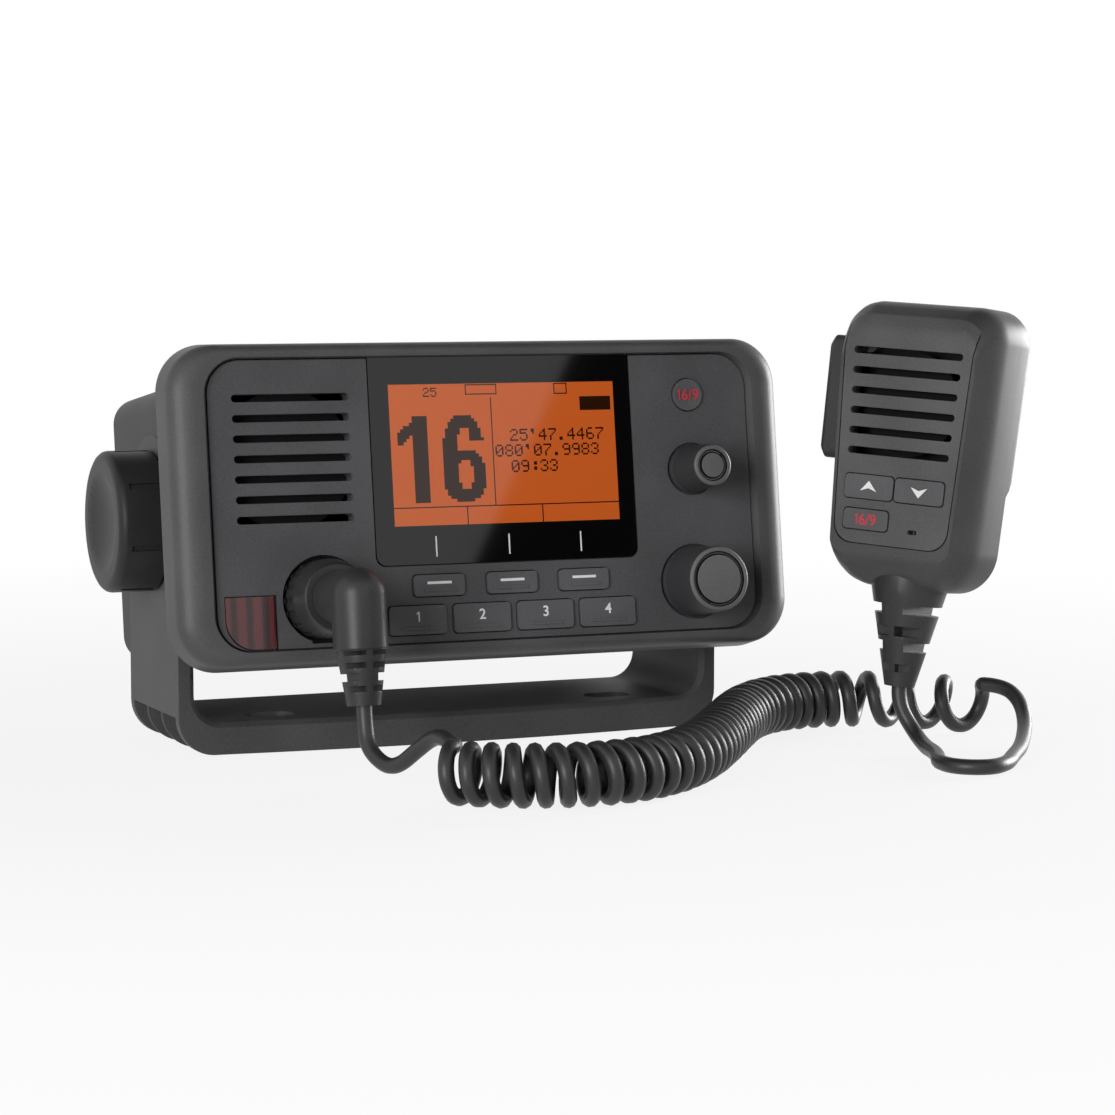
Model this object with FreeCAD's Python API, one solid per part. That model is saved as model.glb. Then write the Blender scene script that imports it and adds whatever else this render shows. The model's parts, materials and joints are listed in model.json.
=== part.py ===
"""Fixed-mount VHF marine radio: head unit, U bracket with side knobs, fist microphone on a curly cord.

Frame: millimetres, +X to the radio's right, +Y to its back, +Z up. The origin is the middle of the bracket's
underside. Head pieces are drawn upright about the tilt axis and turned back by HEAD_TILT at the end.
Microphone pieces are drawn upright about the middle of their speaker slots and turned the same way.
"""
import FreeCAD
import Part
import math
import os

V = FreeCAD.Vector

# ---------------------------------------------------------------- driving dimensions: placing
HEAD_TILT = 7.7             # lean of the head at rest, degrees, face turned up
PIVOT_Z = 66.4              # tilt axis above the surface
PANEL_TO_PIVOT = 52.7       # face panel in front of the tilt axis
BEZEL_RISE = 0.6            # middle of the bezel above the tilt axis
MIC_X, MIC_Y, MIC_Z = 107.5, -101.0, 101.2    # middle of the microphone's speaker slots
MIC_YAW, MIC_PITCH, MIC_ROLL = -58.7, -5.4, 3.1

# ---------------------------------------------------------------- clearances
FIT = 0.1                   # radial running clearance of a shaft in a hole
KNOB_FIT = 0.05             # a control knob or a threaded insert on its shaft
GAP = 0.3                   # between pieces that move past each other

# ---------------------------------------------------------------- bracket
ARM_T = 5.0
ARM_R = 24.8                # half the arm's depth and the radius of its round end
BASE_T = 9.4
BASE_BOW = 4.2              # forward bulge of the base's front edge
BRACKET_CORNER_R = 11.0
BRACKET_INNER_R = 8.0
BRACKET_CHAMFER = 1.5
POCKET_DEPTH = 4.0          # cored pockets in each lower corner
POCKET_RIB = 1.2
POCKET_EDGE = 3.6
SLOT_X, SLOT_Y = 54.3, -13.0
SLOT_LENGTH, SLOT_WIDTH = 14.7, 9.6

# ---------------------------------------------------------------- clamp knobs and pivot
KNOB_R, KNOB_H = 20.6, 15.2
KNOB_FACE_R, KNOB_DISH_R, KNOB_DISH = 17.7, 15.0, 2.4
KNOB_GRIPS, GRIP_W, GRIP_DEPTH = 7, 1.8, 0.7
STUD_R, STUD_IN_KNOB, STUD_IN_HEAD = 3.0, 9.0, 9.0
INSERT_R, INSERT_LENGTH = 4.6, 12.0
WASHER_R, WASHER_T = 12.0, 1.0
BOSS_R = 13.0

# ---------------------------------------------------------------- bezel and face panel
CHASSIS_W, CHASSIS_H, CHASSIS_R, CHASSIS_WALL = 153.0, 82.0, 8.0, 2.6    # tub of the rear chassis
BEZEL_R = 14.0
BEZEL_BACK = 10.2           # rear edge of the bezel behind the panel's face
RIM_SHOULDER = 3.6          # depth at which the rim starts to curve in
RIM_DRAFT = 0.7
RIM_SLOPE_X, RIM_SLOPE_Z = 8.3, 3.0
RIM_PROUD = 2.0
RIM_LAND = 1.3
PANEL_W, PANEL_H, PANEL_R, PANEL_T = 166.4, 81.0, 9.5, 3.2
PANEL_GAP = 0.35
PANEL_SIDE, PANEL_EDGE = PANEL_W / 2.0, PANEL_H / 2.0    # edges of the face panel from its middle
BEZEL_WALL = 2.8
BEZEL_SIDE = 3.4

SLOT_COUNT, SLOT_PITCH, SLOT_H, SPEAKER_SLOT_L = 7, 5.69, 2.2, 34.8
SPEAKER_IN, SPEAKER_OFF_TUB, SPEAKER_Z, SPEAKER_R = 24.3, 15.0, 12.8, 19.8
SPEAKER_X = max(-PANEL_SIDE + SPEAKER_IN, -CHASSIS_W / 2.0 + CHASSIS_WALL + SPEAKER_OFF_TUB)
SPEAKER_AT = (SPEAKER_X, SPEAKER_Z)
SPEAKER_RIM, SPEAKER_CONE, SPEAKER_DEPTH, MAGNET_R, MEMBRANE_T = 5.3, 8.5, 13.5, 10.5, 0.4
# the keys fill the width between the columns of the socket and of the knobs; window and display keep to them
SOCKET_COLUMN, KNOB_COLUMN = 50.2, 39.7
KEYS_X0, KEYS_X1 = -PANEL_SIDE + SOCKET_COLUMN, PANEL_SIDE - KNOB_COLUMN
KEYS_MIDDLE, KEYS_W = (KEYS_X0 + KEYS_X1) / 2.0, KEYS_X1 - KEYS_X0
WINDOW_PAST_LEFT, WINDOW_PAST_RIGHT, WINDOW_R = 2.5, 2.0, 3.0
WINDOW_X0, WINDOW_X1 = KEYS_X0 - WINDOW_PAST_LEFT, KEYS_X1 + WINDOW_PAST_RIGHT
LCD_IN_LEFT, LCD_IN_RIGHT, LCD_H, LCD_Z = 5.9, 5.1, 40.4, 12.8
LCD_X0, LCD_X1 = max(WINDOW_X0 + LCD_IN_LEFT, SPEAKER_X + SPEAKER_R + GAP), WINDOW_X1 - LCD_IN_RIGHT
LCD_W, LCD_AT = LCD_X1 - LCD_X0, ((LCD_X0 + LCD_X1) / 2.0, LCD_Z)
LCD_T, BACKLIGHT_T = 2.2, 3.0
# the keys, the window's lower edge, the lower knob, the socket and the door keep to the panel's lower edge
FUNCTION_KEY_SPACE, FUNCTION_KEY_H = 2.3, 8.2
FUNCTION_KEY_PITCH = (KEYS_W + FUNCTION_KEY_SPACE) / 4.0
FUNCTION_KEY = (FUNCTION_KEY_PITCH - FUNCTION_KEY_SPACE, FUNCTION_KEY_H)
SOFT_KEY, SOFT_KEYS_IN, SOFT_KEY_SHIFT = (15.5, 6.1), 9.0, -0.05
SOFT_KEY_PITCH = (KEYS_W - SOFT_KEYS_IN) / 3.0
FUNCTION_KEY_UP, KEY_ROWS, WINDOW_UP = 6.3, 9.7, 3.05
FUNCTION_KEY_AT = (KEYS_MIDDLE, -PANEL_EDGE + FUNCTION_KEY_UP)
SOFT_KEY_AT = (KEYS_MIDDLE + SOFT_KEY_SHIFT, FUNCTION_KEY_AT[1] + KEY_ROWS)
WINDOW_Z0 = SOFT_KEY_AT[1] + SOFT_KEY[1] / 2.0 + WINDOW_UP
KEY_R, KEY_PROUD, KEY_STEM_R = 1.2, 0.9, 2.0
KEY_RIDGE_H, KEY_RIDGE = 0.9, 0.3
KEY_STEM_PAST = 1.1
KEY_STEM_END = -PANEL_T - BEZEL_WALL - KEY_STEM_PAST    # where a key's stem meets its switch
BOARD_FRONT_STEP = -(LCD_T + BACKLIGHT_T - BEZEL_WALL)
BEZEL_INNER_DEPTH = PANEL_T + BEZEL_WALL - BOARD_FRONT_STEP    # front of the front board behind the panel
POWER_KEY_IN, POWER_KEY_DOWN, POWER_KEY_R = 19.0, 11.9, 4.7
POWER_KEY_AT = (PANEL_SIDE - POWER_KEY_IN, PANEL_EDGE - POWER_KEY_DOWN)
VOLUME_IN, VOLUME_Z, VOLUME_R, VOLUME_CAP_R, VOLUME_H = 18.7, 6.7, 7.3, 5.9, 14.7
VOLUME_AT = (PANEL_SIDE - VOLUME_IN, VOLUME_Z)
SELECT_IN, SELECT_UP, SELECT_R, SELECT_CAP_R, SELECT_H = 19.5, 14.0, 10.6, 9.3, 16.5
SELECT_AT = (PANEL_SIDE - SELECT_IN, -PANEL_EDGE + SELECT_UP)
SHAFT_R, SHAFT_IN, KNOB_SINK, KNOB_PUSH = 3.0, 7.2, 0.4, 0.5
ENCODER_W, ENCODER_H = 13.0, 4.2
DOOR_IN, DOOR_UP, DOOR_W, DOOR_H = 2.4, 0.2, 13.9, 14.7
DOOR_X0, DOOR_Z0 = -PANEL_SIDE + DOOR_IN, -PANEL_EDGE + DOOR_UP
DOOR_X1, DOOR_Z1 = DOOR_X0 + DOOR_W, DOOR_Z0 + DOOR_H
DOOR_T, DOOR_R, DOOR_SINK = 1.0, 8.4, 0.2
HINGE_R, HINGE_PIN_R = 0.8, 0.4
DISTRESS_IN, DISTRESS_UP, DISTRESS_R = 6.2, 8.1, 4.4
DISTRESS_AT = (DOOR_X0 + DISTRESS_IN, DOOR_Z0 + DISTRESS_UP)

# ---------------------------------------------------------------- microphone socket and plug
SOCKET_IN, SOCKET_UP, RECESS_R, RECESS_TAB = 31.5, 13.5, 12.4, (8.6, 12.4)
SOCKET_AT = (-PANEL_SIDE + SOCKET_IN, -PANEL_EDGE + SOCKET_UP)
NOSE_R, NOSE_OUT, NOSE_BORE_R, NOSE_BORE = 7.3, 1.5, 5.7, 5.5
COLLAR_R, COLLAR_FRONT_R, COLLAR_OUT, COLLAR_IN, COLLAR_FLUTES = 11.1, 9.6, 11.0, 4.0, 18
PLUG_AXIS_OUT = 28.0        # cord's axis in front of the panel
ELBOW_R, ELBOW_DROP = 7.6, 15.0
BARREL_END = SOCKET_AT[1] - ELBOW_DROP    # lower end of the elbow's barrel, height on the panel
PLUG_BOOT_L, PLUG_BOOT_R0, PLUG_BOOT_R1 = 15.2, 6.9, 4.7
PLUG_CORE_R = NOSE_BORE_R - FIT

# ---------------------------------------------------------------- rear chassis and insides
CHASSIS_LENGTH = 110.0      # from the gasket to the rear face
# the case screws stand outside the tub and the panel; flange and bezel reach round them
CASE_SCREW_OFF_TUB, CASE_SCREW_OFF_PANEL = 8.0, 1.3
CASE_SCREW_IN, CASE_SCREW_DOWN = 6.0, 8.25    # case screws from the flange's edges
CASE_SCREW_X = max(CHASSIS_W / 2.0 + CASE_SCREW_OFF_TUB, PANEL_SIDE + CASE_SCREW_OFF_PANEL)
FLANGE_LIP, FLANGE_OVER_PANEL = 1.25, 1.75    # flange above the tub's top and above the panel's upper edge
FLANGE_W = 2 * (CASE_SCREW_X + CASE_SCREW_IN)
FLANGE_H = 2 * max(CHASSIS_H / 2.0 + FLANGE_LIP, PANEL_EDGE + FLANGE_OVER_PANEL)
FLANGE_R, FLANGE_T = 11.0, 3.0
BEZEL_LAP_X, BEZEL_LAP_Z = 4.5, 3.9     # bezel outside the flange
BEZEL_W, BEZEL_H = FLANGE_W + 2 * BEZEL_LAP_X, FLANGE_H + 2 * BEZEL_LAP_Z
GASKET_T = 0.5
BOSS_RISE = 2.8             # pivot boss outside the tub
ARM_OUT = CHASSIS_W / 2.0 + BOSS_RISE + WASHER_T + ARM_T    # outer face of an arm from the middle
FIN_DEPTH, FIN_T, FIN_PITCH, FIN_COUNT = 8.0, 2.0, 7.5, 17
FIN_UP, FIN_DOWN = 36.0, 3.0    # ends of the fins above the tub's underside and below its top
CASE_SCREW_AT = (CASE_SCREW_X, FLANGE_H / 2.0 - CASE_SCREW_DOWN)
CASE_SCREW_R, CASE_SCREW_HEAD_R = 1.5, 2.8
BOARD_T = 1.6
FRONT_BOARD_EDGE_X, FRONT_BOARD_EDGE_Z = 4.2, 2.0    # front board inside the panel's edges
FRONT_POST_DOWN = 6.5       # upper posts of the front board below the panel's upper edge
MAIN_BOARD_W, MAIN_BOARD_L, MAIN_BOARD_Z = 132.0, 82.0, -24.0
MAIN_BOARD_REAR = 14.0      # from the board's rear edge to the tub's rear face
BOARD_POST_R, BOARD_POST_IN, BOARD_POST_IN_REAR = 3.0, 8.0, 10.0
CASE_BOSS_R, FRONT_POST_R = 4.0, 2.6
SHIELD, SHIELD_BACK, SHIELD_T = (58.0, 44.0, 11.0), 18.0, 0.6
JACK_R, JACK_LENGTH, JACK_FLANGE = 7.9, 14.0, 25.4
INLETS_UP = 21.0            # jack and glands above the tub's underside
INLETS_Z = -CHASSIS_H / 2.0 + INLETS_UP
JACK_AT, POWER_GLAND_AT, DATA_GLAND_AT = (46.0, INLETS_Z), (-46.0, INLETS_Z), (-8.0, INLETS_Z)
GLAND_R, GLAND_RIM, GLAND_L = 6.0, 2.0, 14.0
GLAND_BORE_R, GLAND_BORE = 3.0, 9.0

# ---------------------------------------------------------------- microphone
MIC_HALF_TOP, MIC_HALF_LOW = 26.0, 23.2
MIC_TOP, MIC_LOW = 29.4, -53.2
MIC_TOP_R, MIC_LOW_R = 10.0, 13.0
MIC_SEAM, MIC_BACK, MIC_BACK_LOW = 19.0, 27.0, 22.3
MIC_WALL = 2.2
# front form: depth behind the face, how far sides, top and bottom are drawn in
MIC_FRONT = [(0.0, 3.8, 10.4, 9.4), (1.0, 3.4, 7.2, 7.4), (3.0, 2.6, 4.2, 4.8), (6.0, 1.4, 1.7, 2.3),
             (9.0, 0.5, 0.5, 0.7), (12.0, 0.0, 0.0, 0.0)]
MIC_PANEL_TOP_HALF, MIC_PANEL_LOW_HALF, MIC_PANEL_LOW = 21.4, 18.2, -41.0
MIC_PANEL_R, MIC_PANEL_T = 6.0, 3.0
MIC_SLOTS, MIC_SLOT_PITCH, MIC_SLOT_H = 6, 5.77, 2.1
MIC_SLOT_TOP, MIC_SLOT_LOW = 35.6, 33.1
MIC_ARROW_KEYS = (32.4, 6.9, -24.75)
MIC_CHANNEL_KEY = (14.7, 5.9, -8.25, -34.15)
MIC_HOLE_AT = (7.2, -36.4)
MIC_BOARD_Y = 12.2
PTT_Z0, PTT_Z1, PTT_Y0, PTT_Y1, PTT_PROUD, PTT_TRAVEL = -17.5, 18.5, 6.0, 17.0, 4.6, 1.5
PTT_INNER = -MIC_HALF_TOP + MIC_WALL + 1.5    # inner face of the push-to-talk bar
PTT_SWITCH_L, PTT_SWITCH_Z0, PTT_SWITCH_Z1 = 6.5, -4.0, 5.0
MIC_SPEAKER_R, MIC_MAGNET_R = 15.0, 9.0
MIC_SCREWS_TOP, MIC_SCREWS_LOW = (17.5, 17.0), (15.5, -40.5)
MIC_STEP_Z0, MIC_STEP_Z1 = -24.0, -16.0    # slope on the back between its deep and its shallow part
STUD_Z = 2.0                # hang-up stud above the middle of the speaker slots
MIC_BOOT_Y, MIC_BOOT_TOP, MIC_BOOT_END = 15.0, -49.0, -81.5
MIC_BOOT_R0, MIC_BOOT_R1 = 11.0, 4.4
MIC_BOOT_SIDE_CUTS, MIC_BOOT_FRONT_CUTS = [(4.4, 7.2), (15.2, 18.0)], [(10.7, 13.7), (21.7, 24.1)]
MIC_CAPSULE_R, MIC_CAPSULE_L = 3.0, 3.5

# ---------------------------------------------------------------- cord
CORD_D = 4.4
GUARD_RIB = 1.8             # rib left standing in a cord guard's front slots
COIL_OD = 17.6
COIL_ROUTE = [V(-47.0, -130.5, 8.8), V(-38.5, -139.5, 8.8), V(-26.0, -147.0, 8.8), V(-11.0, -150.3, 8.8),
              V(4.0, -147.5, 8.8), V(19.0, -138.5, 8.8), V(34.0, -122.5, 8.8), V(48.5, -102.5, 8.8),
              V(63.0, -81.5, 8.8), V(77.0, -62.0, 8.8), V(91.0, -49.0, 8.8), V(106.0, -44.0, 8.8),
              V(121.5, -46.5, 8.8), V(135.5, -56.5, 8.8), V(145.5, -70.5, 8.8), V(150.0, -79.0, 8.8)]
LEAD_ROUTE = [V(-51.8, -91.0, 9.7), V(-49.3, -97.0, 5.7), V(-47.0, -102.1, 6.3), V(-44.1, -107.8, 11.1),
              V(-41.5, -114.5, 15.7), V(-40.7, -120.0, 15.9), V(-40.7, -125.0, 15.1), V(-41.4, -129.4, 15.4),
              V(-43.8, -132.4, 15.4)]
TAIL_ROUTE = [V(149.0, -77.6, 15.4), V(153.0, -82.7, 15.4), V(154.4, -89.9, 11.8), V(151.0, -98.6, 6.5),
              V(144.4, -108.4, 3.7), V(136.3, -119.8, 2.6), V(126.8, -131.5, 2.6), V(118.6, -142.4, 2.6),
              V(110.3, -147.3, 2.6), V(102.2, -142.6, 2.6), V(101.7, -133.2, 2.6), V(106.6, -124.8, 2.6),
              V(110.3, -116.0, 2.6), V(112.7, -106.8, 2.6), V(114.0, -98.1, 5.5)]


# ================================================================ drawing helpers
def panel_y(out):
    """Y of a plane that stands `out` in front of the face panel, in the head's own frame."""
    return -PANEL_TO_PIVOT - out


def rounded(points, radii):
    """Closed wire through 3-D corner points, each rounded by its own radius."""
    count = len(points)
    ends = []
    for i in range(count):
        here, before, after = points[i], points[i - 1], points[(i + 1) % count]
        a = (before - here).normalize()
        b = (after - here).normalize()
        half = a.getAngle(b) / 2.0
        reach = radii[i] / math.tan(half)
        middle = here + (a + b).normalize() * (radii[i] / math.sin(half) - radii[i])
        ends.append((here + a * reach, middle, here + b * reach))
    edges = []
    for i in range(count):
        first, middle, last = ends[i]
        if radii[i] > 0:
            edges.append(Part.Arc(first, middle, last).toShape())
        following = ends[(i + 1) % count][0]
        if (following - last).Length > 1e-6:
            edges.append(Part.LineSegment(last, following).toShape())
    return Part.Wire(edges)


def rectangle(width, height, radius, y, x=0.0, z=0.0):
    """Rounded rectangle wire that faces -Y."""
    w, h = width / 2.0, height / 2.0
    corners = [V(x - w, y, z - h), V(x + w, y, z - h), V(x + w, y, z + h), V(x - w, y, z + h)]
    return rounded(corners, [radius] * 4)


def prism(wire, depth):
    """Solid from a wire pushed back along +Y."""
    return Part.Face(wire).extrude(V(0, depth, 0))


def plate(width, height, radius, front, back, at=(0.0, 0.0)):
    """Rounded plate on the head, between two distances in front of the panel's face."""
    wire = rectangle(width, height, radius, panel_y(front), at[0], at[1] + BEZEL_RISE)
    return prism(wire, front - back)


def post(radius, front, back, at):
    """Round post on the head that stands square to the panel."""
    base = V(at[0], panel_y(front), at[1] + BEZEL_RISE)
    return Part.makeCylinder(radius, front - back, base, V(0, 1, 0))


def box(x0, x1, y0, y1, z0, z1):
    return Part.makeBox(x1 - x0, y1 - y0, z1 - z0, V(x0, y0, z0))


def turned(profile, at, axis, start):
    """Body of revolution: (distance, radius) points along `axis` from `at`, turned about that axis."""
    side = V(0, 0, 1) if abs(axis.z) < 0.5 else V(1, 0, 0)
    points = [at + axis * (start + d) + side * r for d, r in profile]
    wire = Part.makePolygon(points + [points[0]])
    return Part.Face(wire).revolve(at, axis, 360)


def row(count, pitch, middle=0.0):
    """Evenly spaced positions about a middle."""
    return [middle + pitch * (i - (count - 1) / 2.0) for i in range(count)]


def fused(shapes):
    result = shapes[0]
    if len(shapes) > 1:
        result = result.multiFuse(shapes[1:])
    return result.removeSplitter()


def head(shape):
    """Leans an upright head piece back and lifts it to the tilt axis."""
    placed = shape.copy()
    placed.rotate(V(0, 0, 0), V(1, 0, 0), -HEAD_TILT)
    placed.translate(V(0, 0, PIVOT_Z))
    return placed


def microphone(shape):
    """Turns an upright microphone piece to where it stands."""
    placed = shape.copy()
    placed.rotate(V(0, 0, 0), V(0, 1, 0), MIC_ROLL)
    placed.rotate(V(0, 0, 0), V(1, 0, 0), MIC_PITCH)
    placed.rotate(V(0, 0, 0), V(0, 0, 1), MIC_YAW)
    placed.translate(V(MIC_X, MIC_Y, MIC_Z))
    return placed


def write(name, shape):
    shape.exportStep("parts/%s.step" % name)
    print("%-22s solids %2d  volume %9.1f  valid %s" % (name, len(shape.Solids), shape.Volume, shape.isValid()))


# ================================================================ bracket
def bracket_section(half, floor, radius, y):
    """Wire of the U in the XZ plane, closed above the arms."""
    top = PIVOT_Z + ARM_R + 10
    corners = [V(-half, y, floor), V(half, y, floor), V(half, y, top), V(-half, y, top)]
    return rounded(corners, [radius, radius, 0, 0])


def bow_face(z, back, shift):
    """Area between a straight line and the bowed front edge of the base, which lies `shift` further back."""
    reach = ARM_OUT - ARM_T - BRACKET_INNER_R
    left, right = V(-reach, shift - ARM_R, z), V(reach, shift - ARM_R, z)
    bow = Part.Arc(left, V(0, shift - ARM_R - BASE_BOW, z), right).toShape()
    rest = Part.makePolygon([right, V(reach, back, z), V(-reach, back, z), left])
    return Part.Face(Part.Wire([bow] + rest.Edges))


def bracket_blank():
    """U with round-ended arms and a base that bulges forward, its front inner edge chamfered."""
    front = -ARM_R - BASE_BOW - 5
    inner = ARM_OUT - ARM_T
    reach = inner - BRACKET_INNER_R
    u_shape = prism(bracket_section(ARM_OUT, 0, BRACKET_CORNER_R, front), -2 * front)
    u_shape = u_shape.cut(prism(bracket_section(inner, BASE_T, BRACKET_INNER_R, front), -2 * front))
    side = Part.makeCylinder(ARM_R, 2 * ARM_OUT + 2, V(-ARM_OUT - 1, 0, PIVOT_Z), V(1, 0, 0))
    side = side.fuse(box(-ARM_OUT - 1, ARM_OUT + 1, -ARM_R, ARM_R, -1, PIVOT_Z))
    bulge = bow_face(-1, 0, 0).extrude(V(0, 0, BASE_T + 2))
    blank = u_shape.common(side.fuse(bulge).removeSplitter()).removeSplitter()
    lip = bow_face(BASE_T, front, BRACKET_CHAMFER).extrude(V(0, -BRACKET_CHAMFER, -BRACKET_CHAMFER))
    grown = BRACKET_CHAMFER + 1
    funnel = Part.makeLoft([bracket_section(inner, BASE_T, BRACKET_INNER_R, -ARM_R + BRACKET_CHAMFER),
                            bracket_section(inner + grown, BASE_T - grown, BRACKET_INNER_R + grown, -ARM_R - 1)],
                           True, True)
    return blank.cut([lip, funnel.cut(box(-reach, reach, front, 0, -5, PIVOT_Z + 2 * ARM_R))])


def bracket():
    solid = bracket_blank()
    for sign in (-1, 1):
        x = sign * SLOT_X
        half = (SLOT_LENGTH - SLOT_WIDTH) / 2.0
        ends = [Part.makeCylinder(SLOT_WIDTH / 2.0, BASE_T + 2, V(x + e * half, SLOT_Y, -1)) for e in (-1, 1)]
        bar = box(x - half, x + half, SLOT_Y - SLOT_WIDTH / 2.0, SLOT_Y + SLOT_WIDTH / 2.0, -1, BASE_T + 1)
        hole = Part.makeCylinder(STUD_R + FIT, ARM_T + 2, V(sign * (ARM_OUT + 1), 0, PIVOT_Z), V(-sign, 0, 0))
        solid = solid.cut([fused(ends + [bar]), corner_pockets(sign), hole])
    return solid


def corner_pockets(sign):
    """Three cored pockets with thin ribs between, round one lower corner."""
    middle = sign * (ARM_OUT - BRACKET_CORNER_R)
    outer_r = BRACKET_CORNER_R + 1
    inner_r = BRACKET_CORNER_R - POCKET_DEPTH
    length = (2 * (ARM_R - POCKET_EDGE) - 2 * POCKET_RIB) / 3.0
    pockets = []
    for i in range(3):
        y = -ARM_R + POCKET_EDGE + i * (length + POCKET_RIB)
        at = V(middle, y, BRACKET_CORNER_R)
        ring = Part.makeCylinder(outer_r, length, at, V(0, 1, 0))
        ring = ring.cut(Part.makeCylinder(inner_r, length, at, V(0, 1, 0)))
        quarter = box(0, outer_r, 0, length, -outer_r, 0)
        if sign < 0:
            quarter = box(-outer_r, 0, 0, length, -outer_r, 0)
        quarter.translate(at)
        pockets.append(ring.common(quarter))
    return Part.makeCompound(pockets)


def clamp_knob(sign):
    """Round clamp knob with a dished face and grip grooves, outside one arm."""
    at = V(sign * ARM_OUT, 0, 0)
    out = V(sign, 0, 0)
    edge = 2.4
    profile = [(GAP, 0), (GAP, KNOB_R - 1), (GAP + 0.8, KNOB_R), (KNOB_H - edge, KNOB_R)]
    for step in range(1, 5):
        turn = math.radians(22.5 * step)
        profile.append((KNOB_H - edge + edge * math.sin(turn),
                        KNOB_R - (KNOB_R - KNOB_FACE_R) * (1 - math.cos(turn))))
    rings = 6
    for step in range(rings + 1):
        share = step / float(rings)
        profile.append((KNOB_H - KNOB_DISH * (1 - (1 - share) ** 2), KNOB_DISH_R * (1 - share)))
    knob = turned(profile, at, out, 0)
    knob = knob.cut(Part.makeCylinder(STUD_R, STUD_IN_KNOB + 1, at - out, out))
    for i in range(KNOB_GRIPS):
        length = KNOB_H - edge - 3.0
        groove = box(0, length, -GRIP_W / 2, GRIP_W / 2, KNOB_R - GRIP_DEPTH, KNOB_R + 1)
        groove.translate(V(1.8, 0, 0))
        groove.rotate(V(0, 0, 0), V(1, 0, 0), 90 + 360.0 * i / KNOB_GRIPS)
        if sign < 0:
            groove.rotate(V(0, 0, 0), V(0, 0, 1), 180)
        groove.translate(at)
        knob = knob.cut(groove)
    return knob


def clamp_stud(sign):
    """Threaded stud moulded into a clamp knob, through the arm and into the head."""
    start = ARM_OUT - ARM_T - WASHER_T - STUD_IN_HEAD
    length = ARM_OUT + STUD_IN_KNOB - start
    return Part.makeCylinder(STUD_R, length, V(sign * start, 0, 0), V(sign, 0, 0))


def ring_pair(outer_r, inner_r, inside, length):
    """A ring on each side of the head, on the tilt axis."""
    rings = []
    for sign in (-1, 1):
        at = V(sign * inside, 0, 0)
        ring = Part.makeCylinder(outer_r, length, at, V(sign, 0, 0))
        rings.append(ring.cut(Part.makeCylinder(inner_r, length, at, V(sign, 0, 0))))
    return Part.makeCompound(rings)


# ================================================================ front of the head
def speaker_slots(front, back, grow=0.0):
    slots = []
    for z in row(SLOT_COUNT, SLOT_PITCH, SPEAKER_AT[1]):
        height = SLOT_H + 2 * grow
        at = (SPEAKER_AT[0], z)
        slots.append(plate(SPEAKER_SLOT_L + 2 * grow, height, height / 2 - 0.01, front, back, at))
    return slots


def soft_key_places():
    return [(x, SOFT_KEY_AT[1]) for x in row(3, SOFT_KEY_PITCH, SOFT_KEY_AT[0])]


def function_key_places():
    return [(x, FUNCTION_KEY_AT[1]) for x in row(4, FUNCTION_KEY_PITCH, FUNCTION_KEY_AT[0])]


def window_outline(grow, top, y):
    x0, x1, z0 = WINDOW_X0 - grow, WINDOW_X1 + grow, WINDOW_Z0 - grow + BEZEL_RISE
    z1 = top + BEZEL_RISE
    return rounded([V(x0, y, z0), V(x1, y, z0), V(x1, y, z1), V(x0, y, z1)], [WINDOW_R, WINDOW_R, 0, 0])


def rim_sections():
    """Widths, heights and corner radii of the bezel from its rear edge to its ridge."""
    sections = [(-BEZEL_BACK, BEZEL_W, BEZEL_H, BEZEL_R)]
    drop = RIM_PROUD + RIM_SHOULDER
    for turn in (0, 20, 40, 60, 78, 90):
        inward = 1 - math.cos(math.radians(turn))
        out = -RIM_SHOULDER + drop * math.sin(math.radians(turn))
        width = BEZEL_W - 2 * (RIM_DRAFT + RIM_SLOPE_X * inward)
        height = BEZEL_H - 2 * (RIM_DRAFT + RIM_SLOPE_Z * inward)
        sections.append((out, width, height, BEZEL_R - 0.3 - 3.4 * inward))
    return sections


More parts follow.
